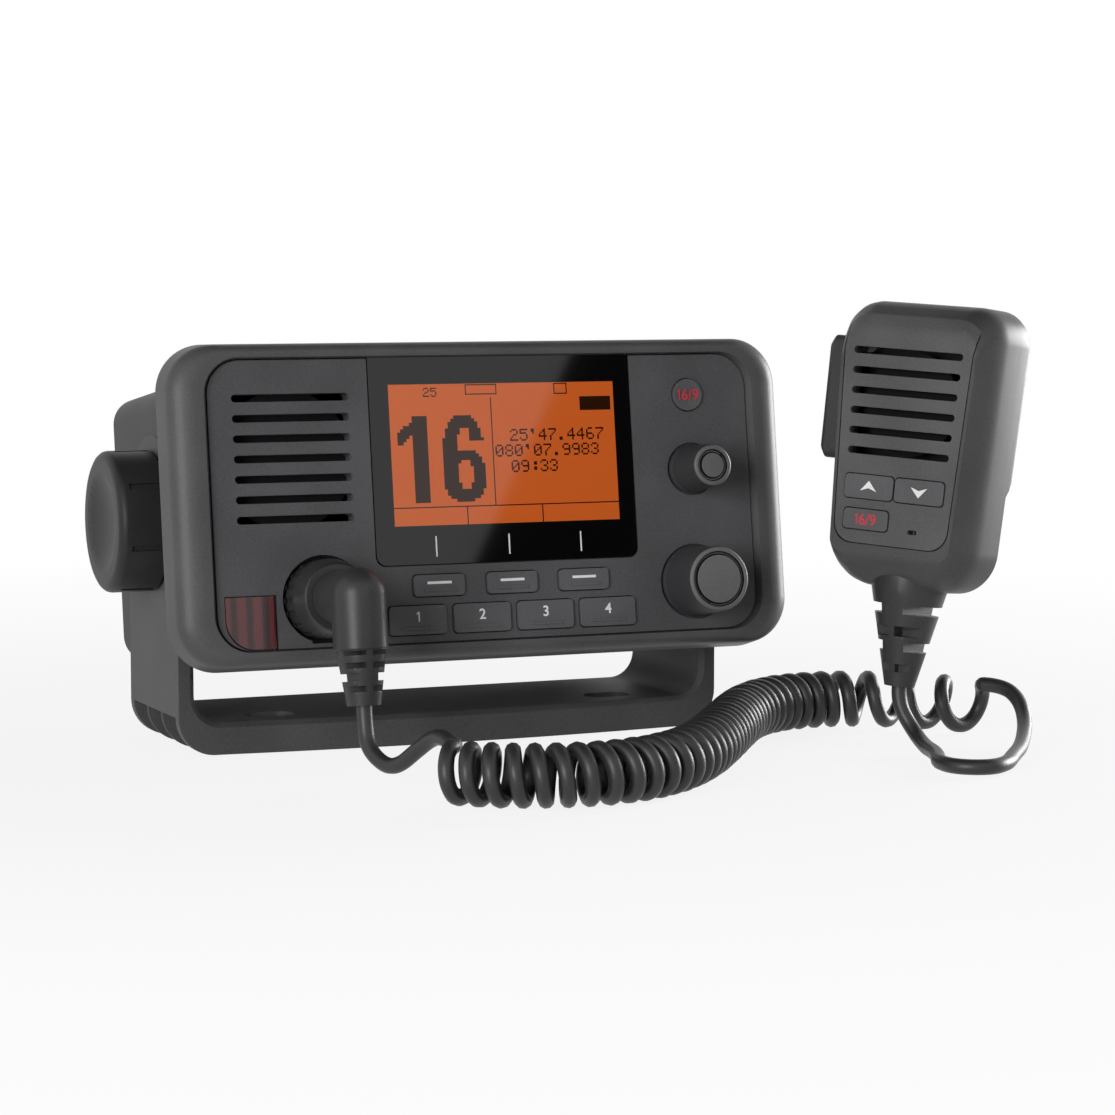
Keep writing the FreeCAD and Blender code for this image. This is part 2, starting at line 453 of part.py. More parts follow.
def front_bezel():
    wires = [rectangle(w, h, r, panel_y(out), 0, BEZEL_RISE) for out, w, h, r in rim_sections()]
    solid = Part.makeLoft(wires, True, True)
    pocket_w, pocket_h = PANEL_W + 2 * PANEL_GAP, PANEL_H + 2 * PANEL_GAP
    pocket_r = PANEL_R + PANEL_GAP
    solid = solid.cut(plate(pocket_w, pocket_h, pocket_r, 5, -PANEL_T))
    ridge = rim_sections()[-1]
    mouth_w, mouth_h = ridge[1] - 2 * RIM_LAND, ridge[2] - 2 * RIM_LAND
    mouth = [rectangle(pocket_w, pocket_h, pocket_r, panel_y(-0.4), 0, BEZEL_RISE),
             rectangle(mouth_w, mouth_h, pocket_r + 0.6, panel_y(RIM_PROUD + 0.01), 0, BEZEL_RISE)]
    solid = solid.cut(Part.makeLoft(mouth, True, True))
    inner_w, inner_h = BEZEL_W - 2 * BEZEL_SIDE, BEZEL_H - 2 * BEZEL_SIDE
    wall_back = -PANEL_T - BEZEL_WALL
    solid = solid.cut(plate(inner_w, inner_h, BEZEL_R - BEZEL_SIDE, wall_back, -BEZEL_BACK - 1))
    bosses = []
    for sx in (-1, 1):
        for sz in (-1, 1):
            at = (sx * CASE_SCREW_AT[0], sz * CASE_SCREW_AT[1])
            bosses.append(post(CASE_BOSS_R, wall_back, -BEZEL_BACK, at))
    board_front = wall_back + BOARD_FRONT_STEP
    for at in front_board_posts():
        bosses.append(post(FRONT_POST_R, wall_back, board_front, at))
    solid = fused([solid] + bosses)
    cuts = speaker_slots(1, wall_back - 0.5, 0.2)
    cuts.append(plate(LCD_W + 0.4, LCD_H + 0.4, 0.8, 1, wall_back - 0.5, LCD_AT))
    for at in soft_key_places() + function_key_places() + [POWER_KEY_AT]:
        cuts.append(post(KEY_STEM_R + GAP, 1, wall_back - 0.5, at))
    for at in (VOLUME_AT, SELECT_AT):
        cuts.append(plate(ENCODER_W + 0.6, ENCODER_W + 0.6, 0.5, 1, wall_back - 0.5, at))
    cuts.append(post(DISTRESS_R + GAP, 1, wall_back - 0.5, DISTRESS_AT))
    cuts.append(socket_recess(1, wall_back - 0.5))
    for sx in (-1, 1):
        for sz in (-1, 1):
            at = (sx * CASE_SCREW_AT[0], sz * CASE_SCREW_AT[1])
            cuts.append(post(CASE_SCREW_R, wall_back + 1.2, -BEZEL_BACK - 1, at))
    cuts.append(hinge_pin())
    return solid.cut(cuts)



def front_board_posts():
    top = PANEL_EDGE - FRONT_POST_DOWN
    select_x, select_z = SELECT_AT
    return [(KEYS_X0 - 1.6, top), (KEYS_X1 + 8.5, top), (select_x + 12.3, select_z + 18.5),
            (SOCKET_AT[0] + 13.7, SOCKET_AT[1] + 12.5), (select_x - 15.2, select_z + 12.5)]


def socket_recess(front, back):
    """Round recess with a square tab below, round the microphone socket."""
    tab_w, tab_drop = RECESS_TAB
    tab = plate(tab_w, tab_drop, 0.4, front, back, (SOCKET_AT[0], SOCKET_AT[1] - tab_drop / 2.0))
    return post(RECESS_R, front, back, SOCKET_AT).fuse(tab).removeSplitter()


def door_outline(grow, y):
    x0, x1 = DOOR_X0 - grow, DOOR_X1 + grow
    z0, z1 = DOOR_Z0 - grow + BEZEL_RISE, DOOR_Z1 + grow + BEZEL_RISE
    return rounded([V(x0, y, z0), V(x1, y, z0), V(x1, y, z1), V(x0, y, z1)], [DOOR_R, 0.3, 0.3, 0.3])


def hinge_axis():
    return V(DOOR_X1, panel_y(-DOOR_SINK - HINGE_R), BEZEL_RISE)


def hinge_pin():
    at = hinge_axis()
    return Part.makeCylinder(HINGE_PIN_R, DOOR_Z1 - DOOR_Z0 + 3.0, V(at.x, at.y, DOOR_Z0 - 1.4 + at.z))


def face_panel():
    solid = plate(PANEL_W, PANEL_H, PANEL_R, 0, -PANEL_T)
    cuts = speaker_slots(1, -PANEL_T - 1)
    cuts.append(prism(window_outline(PANEL_GAP, PANEL_H, panel_y(1)), PANEL_T + 2))
    for size, places in ((SOFT_KEY, soft_key_places()), (FUNCTION_KEY, function_key_places())):
        for at in places:
            cuts.append(plate(size[0] + 2 * GAP, size[1] + 2 * GAP, KEY_R + GAP, 1, -PANEL_T - 1, at))
    cuts.append(post(POWER_KEY_R + GAP, 1, -PANEL_T - 1, POWER_KEY_AT))
    for at, radius in ((VOLUME_AT, VOLUME_R), (SELECT_AT, SELECT_R)):
        cuts.append(post(radius + 0.5, 1, -KNOB_SINK - KNOB_PUSH - GAP, at))
        cuts.append(post(SHAFT_R + 0.5, 1, -PANEL_T - 1, at))
    cuts.append(socket_recess(1, -PANEL_T - 1))
    door = prism(door_outline(GAP, panel_y(1)), PANEL_T + 2)
    side = box(DOOR_X0 + DOOR_R, DOOR_X1 + HINGE_R + GAP, panel_y(1), panel_y(-PANEL_T - 1),
               BEZEL_RISE - PANEL_H, DOOR_Z1 + BEZEL_RISE + GAP)
    cuts += [door, side]
    cuts.append(hinge_pin())
    return solid.cut(cuts)


def window_glass():
    top = PANEL_H / 2.0 + PANEL_GAP - 0.05
    return prism(window_outline(0, top, panel_y(-0.05)), PANEL_T - 0.05)


def key(size, at):
    """Rectangular key: cap, raised ridge along its lower edge, and a stem to the switch behind."""
    width, height = size
    cap = plate(width, height, KEY_R, KEY_PROUD, -2.4, at)
    ridge = plate(width * 0.62, KEY_RIDGE_H, KEY_RIDGE_H / 2 - 0.01, KEY_PROUD + KEY_RIDGE, KEY_PROUD,
                  (at[0], at[1] - height / 2.0 + 1.7))
    stem = post(KEY_STEM_R, -2.4, KEY_STEM_END, at)
    return fused([cap, ridge, stem])



def power_key():
    cap = post(POWER_KEY_R, KEY_PROUD, -2.4, POWER_KEY_AT)
    dish = Part.makeSphere(30.0, V(POWER_KEY_AT[0], panel_y(KEY_PROUD + 29.6), POWER_KEY_AT[1] + BEZEL_RISE))
    stem = post(KEY_STEM_R, -2.4, KEY_STEM_END, POWER_KEY_AT)
    return fused([cap.cut(dish), stem])


def control_knob(at, base_r, cap_r, height):
    """Round control knob: slim skirt, slight taper, ring groove round a flat middle on its face."""
    groove_out, groove_in = cap_r - 1.2, cap_r - 2.3
    profile = [(-KNOB_SINK, SHAFT_R + KNOB_FIT), (-KNOB_SINK, base_r), (0.8, base_r), (1.6, base_r - 0.5),
               (height - 1.2, cap_r + 0.3), (height - 0.4, cap_r), (height, cap_r - 0.5),
               (height, groove_out), (height - 0.8, groove_out - 0.2), (height - 0.8, groove_in + 0.2),
               (height - 0.2, groove_in), (height - 0.2, 0), (height - 3.5, 0),
               (height - 3.5, SHAFT_R + KNOB_FIT)]
    return turned(profile, V(at[0], panel_y(0), at[1] + BEZEL_RISE), V(0, -1, 0), 0)


def control_shaft(at, height):
    return post(SHAFT_R, height - 3.5 - KNOB_FIT, -SHAFT_IN, at)


def encoder(at):
    front = -BEZEL_INNER_DEPTH + ENCODER_H
    body = plate(ENCODER_W, ENCODER_W, 0.8, front, -BEZEL_INNER_DEPTH, at)
    return body.cut(post(SHAFT_R + FIT, front + 1, -BEZEL_INNER_DEPTH + 0.5, at))



def distress_cover():
    y = panel_y(-DOOR_SINK)
    leaf = prism(door_outline(0, y), DOOR_T)
    at = hinge_axis()
    low, high = DOOR_Z0 + at.z, DOOR_Z1 + at.z
    barrel = Part.makeCylinder(HINGE_R, high - low, V(at.x, at.y, low))
    trim = box(at.x, at.x + 5, y - 5, y + 5, low - 1, high + 1)
    hollow = Part.makeCylinder(HINGE_PIN_R + FIT, high - low + 2, V(at.x, at.y, low - 1))
    return fused([leaf.cut(trim), barrel]).cut(hollow)


def distress_button():
    cap = post(DISTRESS_R, -1.9, KEY_STEM_END, DISTRESS_AT)
    return cap.makeFillet(0.6, [e for e in cap.Edges if e.CenterOfMass.y < panel_y(-2.0)])


# ================================================================ microphone socket and plug
def socket_origin():
    return V(SOCKET_AT[0], panel_y(0), SOCKET_AT[1] + BEZEL_RISE)


def mic_socket():
    back = -PANEL_T - BEZEL_WALL
    flange = RECESS_R + 1.5
    profile = [(back - 6, 0), (back - 6, 6.6), (back - 2.4, 6.6), (back - 2.4, flange), (back, flange),
               (back, NOSE_R), (NOSE_OUT, NOSE_R), (NOSE_OUT, NOSE_BORE_R), (NOSE_OUT - NOSE_BORE, NOSE_BORE_R),
               (NOSE_OUT - NOSE_BORE, 0)]
    return turned(profile, socket_origin(), V(0, -1, 0), 0)


def plug_collar():
    inner = NOSE_R + FIT
    core = PLUG_CORE_R + FIT
    profile = [(-COLLAR_IN, inner), (-COLLAR_IN, COLLAR_R - 0.4), (-COLLAR_IN + 0.5, COLLAR_R), (5.5, COLLAR_R),
               (COLLAR_OUT - 0.6, COLLAR_FRONT_R + 0.2), (COLLAR_OUT, COLLAR_FRONT_R - 0.4), (COLLAR_OUT, core),
               (NOSE_OUT + GAP, core), (NOSE_OUT + GAP, inner)]
    collar = turned(profile, socket_origin(), V(0, -1, 0), 0)
    flutes = []
    at = socket_origin()
    for i in range(COLLAR_FLUTES):
        turn = 2 * math.pi * i / COLLAR_FLUTES
        x = at.x + (COLLAR_R + 0.5) * math.cos(turn)
        z = at.z + (COLLAR_R + 0.5) * math.sin(turn)
        flutes.append(Part.makeCylinder(1.0, 7.5, V(x, panel_y(4.6), z), V(0, 1, 0)))
    return collar.cut(flutes)



def plug_body():
    at = socket_origin()
    core_length = COLLAR_OUT + GAP + NOSE_BORE - NOSE_OUT - GAP
    core = Part.makeCylinder(PLUG_CORE_R, core_length, V(at.x, panel_y(COLLAR_OUT + GAP), at.z), V(0, 1, 0))
    neck = Part.makeCylinder(ELBOW_R, PLUG_AXIS_OUT - COLLAR_OUT - GAP, V(at.x, panel_y(PLUG_AXIS_OUT), at.z),
                             V(0, 1, 0))
    ball = Part.makeSphere(ELBOW_R, V(at.x, panel_y(PLUG_AXIS_OUT), at.z))
    drop = SOCKET_AT[1] - BARREL_END
    barrel = Part.makeCylinder(ELBOW_R, drop, V(at.x, panel_y(PLUG_AXIS_OUT), at.z), V(0, 0, -1))
    return fused([core, neck, ball, barrel])


def strain_relief(at, r0, r1, length, side_cuts, front_cuts, web):
    """Tapered cord guard hanging down from `at`, with pairs of bending slots cut in turn from its
    sides and from its front and back."""
    solid = Part.makeCone(r0, r1, length, at, V(0, 0, -1))
    far = 2 * r0
    for top, bottom in side_cuts:
        for sign in (-1, 1):
            x = sign * web / 2.0
            cut = box(min(x, sign * far), max(x, sign * far), -far, far, -bottom, -top)
            solid = solid.cut(cut.translated(at))
    for top, bottom in front_cuts:
        for sign in (-1, 1):
            y = sign * web / 2.0
            cut = box(-far, far, min(y, sign * far), max(y, sign * far), -bottom, -top)
            rib = box(-GUARD_RIB / 2, GUARD_RIB / 2, -far, far, -bottom, -top)
            solid = solid.cut(cut.cut(rib).translated(at))
    return solid


def plug_boot():
    at = V(SOCKET_AT[0], panel_y(PLUG_AXIS_OUT), BARREL_END + BEZEL_RISE)
    return strain_relief(at, PLUG_BOOT_R0, PLUG_BOOT_R1, PLUG_BOOT_L,
                         [(6.4, 8.5)], [(0.2, 1.5), (3.4, 5.0), (9.8, 11.5)], CORD_D + 1.0)


# ================================================================ rear of the head
def gasket_depth():
    return -BEZEL_BACK - GASKET_T


def front_gasket():
    ring = plate(FLANGE_W, FLANGE_H, FLANGE_R, -BEZEL_BACK, gasket_depth())
    ring = ring.cut(plate(CHASSIS_W - 2 * CHASSIS_WALL, CHASSIS_H - 2 * CHASSIS_WALL, CHASSIS_R - CHASSIS_WALL,
                          0, -BEZEL_BACK - 2))
    for sx in (-1, 1):
        for sz in (-1, 1):
            at = (sx * CASE_SCREW_AT[0], sz * CASE_SCREW_AT[1])
            ring = ring.cut(post(CASE_SCREW_R, 0, -BEZEL_BACK - 2, at))
    return ring


def rear_chassis():
    """Cast rear housing: flange, tub, pivot bosses and cooling fins."""
    front = gasket_depth()
    back = front - CHASSIS_LENGTH
    solid = plate(CHASSIS_W, CHASSIS_H, CHASSIS_R, front, back)
    parts = [solid, plate(FLANGE_W, FLANGE_H, FLANGE_R, front, front - FLANGE_T)]
    boss_out = ARM_OUT - ARM_T - WASHER_T
    for sign in (-1, 1):
        parts.append(Part.makeCylinder(BOSS_R, boss_out - CHASSIS_W / 2.0 + 2,
                                       V(sign * (CHASSIS_W / 2.0 - 2), 0, 0), V(sign, 0, 0)))
    for x in row(FIN_COUNT, FIN_PITCH):
        parts.append(box(x - FIN_T / 2, x + FIN_T / 2, panel_y(back) - 0.5, panel_y(back) + FIN_DEPTH,
                         BEZEL_RISE - CHASSIS_H / 2.0 + FIN_UP, BEZEL_RISE + CHASSIS_H / 2.0 - FIN_DOWN))
    solid = fused(parts)
    inner_w, inner_h = CHASSIS_W - 2 * CHASSIS_WALL, CHASSIS_H - 2 * CHASSIS_WALL
    solid = solid.cut(plate(inner_w, inner_h, CHASSIS_R - CHASSIS_WALL, front + 1, back + CHASSIS_WALL))
    lugs = []
    for sign in (-1, 1):
        start = boss_out - INSERT_LENGTH
        lugs.append(Part.makeCylinder(BOSS_R - 4, boss_out - start, V(sign * start, 0, 0), V(sign, 0, 0)))
    for at in main_board_posts():
        low = BEZEL_RISE - CHASSIS_H / 2.0 + 1
        lugs.append(Part.makeCylinder(BOARD_POST_R, MAIN_BOARD_Z - low, V(at[0], at[1], low)))
    solid = fused([solid] + lugs)
    cuts = []
    for sign in (-1, 1):
        start = boss_out - INSERT_LENGTH
        cuts.append(Part.makeCylinder(INSERT_R, INSERT_LENGTH + 1, V(sign * start, 0, 0), V(sign, 0, 0)))
        for sz in (-1, 1):
            at = (sign * CASE_SCREW_AT[0], sz * CASE_SCREW_AT[1])
            cuts.append(post(CASE_SCREW_R, front + 1, front - FLANGE_T - 1, at))
    for at, radius in ((JACK_AT, 6.0), (POWER_GLAND_AT, GLAND_R), (DATA_GLAND_AT, GLAND_R)):
        cuts.append(post(radius, back + CHASSIS_WALL + 1, back - 1, at))
    return solid.cut(cuts)



def main_board_rear():
    return panel_y(gasket_depth() - CHASSIS_LENGTH) - MAIN_BOARD_REAR


def main_board_posts():
    x = MAIN_BOARD_W / 2.0 - BOARD_POST_IN
    rear = main_board_rear()
    front = rear - MAIN_BOARD_L
    return [(sx * x, y) for sx in (-1, 1) for y in (front + BOARD_POST_IN, rear - BOARD_POST_IN_REAR)]


def case_screws():
    screws = []
    front = gasket_depth() - FLANGE_T
    for sx in (-1, 1):
        for sz in (-1, 1):
            at = (sx * CASE_SCREW_AT[0], sz * CASE_SCREW_AT[1])
            shank = post(CASE_SCREW_R, -PANEL_T - BEZEL_WALL + 1.2, front, at)
            cap = post(CASE_SCREW_HEAD_R, front, front - 1.8, at)
            screws.append(shank.fuse(cap).removeSplitter())
    return Part.makeCompound(screws)


def front_board():
    width, height = PANEL_W - 2 * FRONT_BOARD_EDGE_X, PANEL_H - 2 * FRONT_BOARD_EDGE_Z
    board = plate(width, height, 3.0, -BEZEL_INNER_DEPTH, -BEZEL_INNER_DEPTH - BOARD_T)
    x = SPEAKER_AT[0] + SPEAKER_R + 1
    board = board.cut(box(-PANEL_W, x, -PANEL_W, 0, SPEAKER_AT[1] - SPEAKER_R - 1 + BEZEL_RISE, PANEL_W))
    board = board.cut(post(RECESS_R + 2, 0, -BEZEL_INNER_DEPTH - 2 * BOARD_T, SOCKET_AT))
    return board



def speaker():
    front = -PANEL_T - BEZEL_WALL - MEMBRANE_T
    neck, magnet = front - SPEAKER_CONE, front - SPEAKER_DEPTH
    profile = [(front, 0), (front, SPEAKER_R), (front - 1.4, SPEAKER_R), (front - 3.8, SPEAKER_R - SPEAKER_RIM),
               (neck, MAGNET_R + 1.0), (neck, MAGNET_R), (magnet, MAGNET_R), (magnet, 0)]
    return turned(profile, V(SPEAKER_AT[0], panel_y(0), SPEAKER_AT[1] + BEZEL_RISE), V(0, -1, 0), 0)


def speaker_membrane():
    front = -PANEL_T - BEZEL_WALL
    return post(SPEAKER_R, front, front - MEMBRANE_T, SPEAKER_AT)


def main_board():
    """Horizontal main board on its four posts."""
    rear = main_board_rear()
    half = MAIN_BOARD_W / 2.0
    return box(-half, half, rear - MAIN_BOARD_L, rear, MAIN_BOARD_Z, MAIN_BOARD_Z + BOARD_T)


def rf_shield():
    """Pressed metal can over the radio circuits on the main board."""
    width, depth, height = SHIELD
    z = MAIN_BOARD_Z + BOARD_T
    y = main_board_rear() - MAIN_BOARD_L + SHIELD_BACK
    half, wall = width / 2.0, SHIELD_T
    can = box(-half, half, y, y + depth, z, z + height)
    return can.cut(box(wall - half, half - wall, y + wall, y + depth - wall, z - 1, z + height - wall))


def antenna_jack():
    """Round threaded coaxial jack on a square flange."""
    back = gasket_depth() - CHASSIS_LENGTH
    flange = plate(JACK_FLANGE, JACK_FLANGE, 2.0, back, back - 2.0, JACK_AT)
    barrel = post(JACK_R, back - 2.0, back - 2.0 - JACK_LENGTH, JACK_AT)
    tail = post(6.0, back + 8.0, back, JACK_AT)
    bore = post(5.2, back - 4.0, back - 3.0 - JACK_LENGTH, JACK_AT)
    pin = post(1.9, back - 3.9, back - 1.0 - JACK_LENGTH, JACK_AT)
    return fused([flange, barrel, tail]).cut(bore).fuse(pin).removeSplitter()


def cable_gland(at):
    """Rubber cable gland in the rear wall, closed at the bottom of its bore."""
    back = gasket_depth() - CHASSIS_LENGTH
    x, y, z = at[0], panel_y(back), at[1] + BEZEL_RISE
    neck, rim, bottom = GLAND_R, GLAND_R + GLAND_RIM, GLAND_L - GLAND_BORE
    profile = [(-CHASSIS_WALL - 1.5, 0), (-CHASSIS_WALL - 1.5, rim), (-CHASSIS_WALL, rim), (-CHASSIS_WALL, neck),
               (0, neck), (0, rim), (2.0, rim), (GLAND_L, neck - 1), (GLAND_L, GLAND_BORE_R),
               (bottom, GLAND_BORE_R), (bottom, 0)]
    return turned(profile, V(x, y, z), V(0, 1, 0), 0)


# ================================================================ microphone
def mic_outline(y, side=0.0, top=0.0, low=0.0, grow=0.0):
    """Tapered outline of the microphone at one depth, drawn in by the given amounts."""
    z1, z0 = MIC_TOP - top + grow, MIC_LOW + low - grow
    wide, slim = MIC_HALF_TOP - side + grow, MIC_HALF_LOW - side + grow
    corners = [V(-slim, y, z0), V(slim, y, z0), V(wide, y, z1), V(-wide, y, z1)]
    return rounded(corners, [MIC_LOW_R - low, MIC_LOW_R - low, MIC_TOP_R - 0.5 * side, MIC_TOP_R - 0.5 * side])


def mic_front_form():
    wires = [mic_outline(y, side, top, low) for y, side, top, low in MIC_FRONT]
    wires.append(mic_outline(MIC_SEAM))
    return Part.makeLoft(wires, True, True)


def mic_panel_prism(grow):
    wide, slim, low = MIC_PANEL_TOP_HALF + grow, MIC_PANEL_LOW_HALF + grow, MIC_PANEL_LOW - grow
    top = MIC_TOP + 10
    slope = (wide - slim) / (MIC_TOP - MIC_PANEL_LOW)
    wide += slope * 10
    corners = [V(-slim, -1, low), V(slim, -1, low), V(wide, -1, top), V(-wide, -1, top)]
    return prism(rounded(corners, [MIC_PANEL_R, MIC_PANEL_R, 0, 0]), 1 + MIC_PANEL_T)


def slab(width, height, radius, y0, y1, x=0.0, z=0.0):
    return prism(rectangle(width, height, radius, y0, x, z), y1 - y0)


def peg(radius, y0, y1, x, z):
    return Part.makeCylinder(radius, y1 - y0, V(x, y0, z), V(0, 1, 0))


def mic_key_places():
    """Name, width, height, middle of each key on the microphone's face."""
    width, height, z = MIC_ARROW_KEYS
    half = (width - 0.5) / 2.0
    channel_w, channel_h, channel_x, channel_z = MIC_CHANNEL_KEY
    return [("mic_up_key", half, height, -half / 2 - 0.25, z), ("mic_down_key", half, height, half / 2 + 0.25, z),
            ("mic_channel_key", channel_w, channel_h, channel_x, channel_z)]


def mic_screw_places():
    return [(sx * x, z) for x, z in (MIC_SCREWS_TOP, MIC_SCREWS_LOW) for sx in (-1, 1)]


def mic_boot_seat():
    return Part.makeCylinder(MIC_BOOT_R0, 6, V(0, MIC_BOOT_Y, MIC_BOOT_TOP), V(0, 0, -1))



def mic_front_shell(form):
    shell = form.cut(mic_panel_prism(GAP))
    deep = mic_outline(9.0, MIC_WALL, MIC_WALL, MIC_WALL)
    shallow = mic_outline(MIC_PANEL_T + 2.0, 5.0, 7.5, 8.0)
    cavity = prism(deep, MIC_SEAM - 9.0 + 1).fuse(prism(shallow, 9.0 - MIC_PANEL_T - 2.0))
    bosses = [peg(3.0, MIC_PANEL_T + 1.9, MIC_SEAM, x, z) for x, z in mic_screw_places()]
    shell = fused([shell.cut(cavity)] + bosses)
    cuts = mic_slot_prisms(0.2, -2, 8)
    cuts += [peg(1.1, MIC_PANEL_T + 3.5, MIC_SEAM + 1, x, z) for x, z in mic_screw_places()]
    cuts += [peg(1.5 + GAP, 0, 8, x, z) for name, w, h, x, z in mic_key_places()]
    cuts.append(peg(0.8, 0, 8, *MIC_HOLE_AT))
    cuts.append(box(-2 * MIC_HALF_TOP, PTT_INNER + PTT_TRAVEL + GAP, PTT_Y0 - GAP, PTT_Y1 + GAP,
                    PTT_Z0 - GAP, PTT_Z1 + GAP))
    cuts.append(mic_boot_seat())
    return shell.cut(cuts)


def mic_slot_prisms(grow, y0, y1):
    slots = []
    places = row(MIC_SLOTS, -MIC_SLOT_PITCH)
    for i, z in enumerate(places):
        length = MIC_SLOT_TOP + (MIC_SLOT_LOW - MIC_SLOT_TOP) * i / (MIC_SLOTS - 1.0)
        height = MIC_SLOT_H + 2 * grow
        slots.append(slab(length + 2 * grow, height, height / 2 - 0.01, y0, y1, 0, z))
    return slots


def mic_face_panel(form):
    panel = form.common(mic_panel_prism(0))
    cuts = mic_slot_prisms(0, -2, 8)
    for name, width, height, x, z in mic_key_places():
        cuts.append(slab(width + 2 * GAP, height + 2 * GAP, 1.4, -2, 8, x, z))
    cuts.append(slab(3.0, 1.3, 0.6, -2, 8, *MIC_HOLE_AT))
    return panel.cut(cuts)


def mic_key(width, height, x, z):
    cap = slab(width, height, 1.3, -0.4, 2.2, x, z)
    return fused([cap, peg(1.5, 2.2, MIC_BOARD_Y - 0.9, x, z)])


def mic_ptt_button():
    """Long push-to-talk bar in the microphone's left side, drawn as a softly rounded bar."""
    outer = -MIC_HALF_TOP - PTT_PROUD
    middle_z, middle_y = (PTT_Z0 + PTT_Z1) / 2.0, (PTT_Y0 + PTT_Y1) / 2.0
    wires = []
    for x, shrink in ((PTT_INNER, 0.0), (outer + 2.2, 0.0), (outer + 0.8, 0.9), (outer, 2.6)):
        y, z = (PTT_Y1 - PTT_Y0) / 2.0 - shrink, (PTT_Z1 - PTT_Z0) / 2.0 - 2 * shrink
        corners = [V(x, middle_y - y, middle_z - z), V(x, middle_y + y, middle_z - z),
                   V(x, middle_y + y, middle_z + z), V(x, middle_y - y, middle_z + z)]
        wires.append(rounded(corners, [2.4 - 0.5 * shrink] * 4))
    return Part.makeLoft(wires, True, True)


def mic_rear_shell():
    wires = [mic_outline(MIC_SEAM), mic_outline(MIC_BACK - 3.2)]
    for turn in (30, 60, 90):
        drawn = 3.2 * (1 - math.cos(math.radians(turn)))
        wires.append(mic_outline(MIC_BACK - 3.2 + 3.2 * math.sin(math.radians(turn)), drawn, drawn, drawn))
    shell = Part.makeLoft(wires, True, True)
    far, low = 2 * MIC_HALF_TOP, 2 * MIC_LOW
    step = Part.makePolygon([V(-far, MIC_BACK + 1, MIC_STEP_Z1), V(-far, MIC_BACK_LOW, MIC_STEP_Z0),
                             V(-far, MIC_BACK_LOW, low), V(-far, MIC_BACK + 1, low),
                             V(-far, MIC_BACK + 1, MIC_STEP_Z1)])
    shell = shell.cut(Part.Face(step).extrude(V(2 * far, 0, 0)))
    depth = MIC_BACK - MIC_SEAM + 1 - MIC_WALL - 0.6
    upper = prism(mic_outline(MIC_SEAM - 1, MIC_WALL, MIC_WALL, MIC_WALL), depth)
    shell = shell.cut(upper.common(box(-far, far, 0, far, MIC_STEP_Z1 + 2.0, far)))
    pegs = []
    heads = []
    for x, z in mic_screw_places():
        back = mic_back_at(z)
        pegs.append(peg(3.4, MIC_SEAM, back - 1.0, x, z))
        heads += [peg(2.3, back - 1.6, back + 5, x, z), peg(1.1, MIC_SEAM - 1, back, x, z)]
    shell = fused([shell] + pegs).cut(heads + [mic_boot_seat()])
    return shell.cut(peg(2.0, MIC_BACK - 6, MIC_BACK + 1, 0, STUD_Z))



def mic_back_at(z):
    return MIC_BACK if z > MIC_STEP_Z1 else MIC_BACK_LOW


def mic_hang_stud():
    profile = [(-2.8, 0), (-2.8, 2.0), (0, 2.0), (0, 5.0), (4.0, 4.0), (4.6, 7.4), (6.4, 7.4), (7.2, 6.6), (7.2, 0)]
    return turned(profile, V(0, MIC_BACK, STUD_Z), V(0, 1, 0), 0)


def mic_screws():
    screws = []
    for x, z in mic_screw_places():
        back = mic_back_at(z)
        shank = peg(1.1, MIC_PANEL_T + 3.5, back - 1.6, x, z)
        screws.append(shank.fuse(peg(2.2, back - 1.6, back - 0.1, x, z)).removeSplitter())
    return Part.makeCompound(screws)


def mic_board():
    """Board inside the shells, with the push-to-talk switch on its front."""
    inset = MIC_WALL + 1.2
    board = prism(mic_outline(MIC_BOARD_Y, inset, inset, inset + 5), BOARD_T)
    pressed = PTT_INNER + PTT_TRAVEL + GAP
    board = board.cut(box(-2 * MIC_HALF_TOP, pressed + 1.0, 0, MIC_BACK, PTT_Z0 - 1, PTT_Z1 + 1))
    switch = box(pressed, pressed + PTT_SWITCH_L, MIC_BOARD_Y - 3.5, MIC_BOARD_Y + BOARD_T,
                 PTT_SWITCH_Z0, PTT_SWITCH_Z1)
    return fused([board, switch]).cut([peg(3.0, 0, MIC_BACK, x, z) for x, z in mic_screw_places()])


def mic_speaker():
    front = MIC_PANEL_T + 2.0
    profile = [(front, 0), (front, MIC_SPEAKER_R), (front + 1.6, MIC_SPEAKER_R), (front + 3.6, MIC_MAGNET_R),
               (MIC_BOARD_Y, MIC_MAGNET_R), (MIC_BOARD_Y, 0)]
    return turned(profile, V(0, 0, 0), V(0, 1, 0), 0)


def mic_boot():
    """Cord guard under the microphone: round seat held between the shells, then a slotted taper."""
    seat = 4.2
    cone = strain_relief(V(0, MIC_BOOT_Y, MIC_BOOT_TOP - seat), MIC_BOOT_R0, MIC_BOOT_R1,
                         MIC_BOOT_TOP - seat - MIC_BOOT_END, MIC_BOOT_SIDE_CUTS, MIC_BOOT_FRONT_CUTS, CORD_D + 2.4)
    return fused([cone, Part.makeCylinder(MIC_BOOT_R0, seat, V(0, MIC_BOOT_Y, MIC_BOOT_TOP), V(0, 0, -1))])


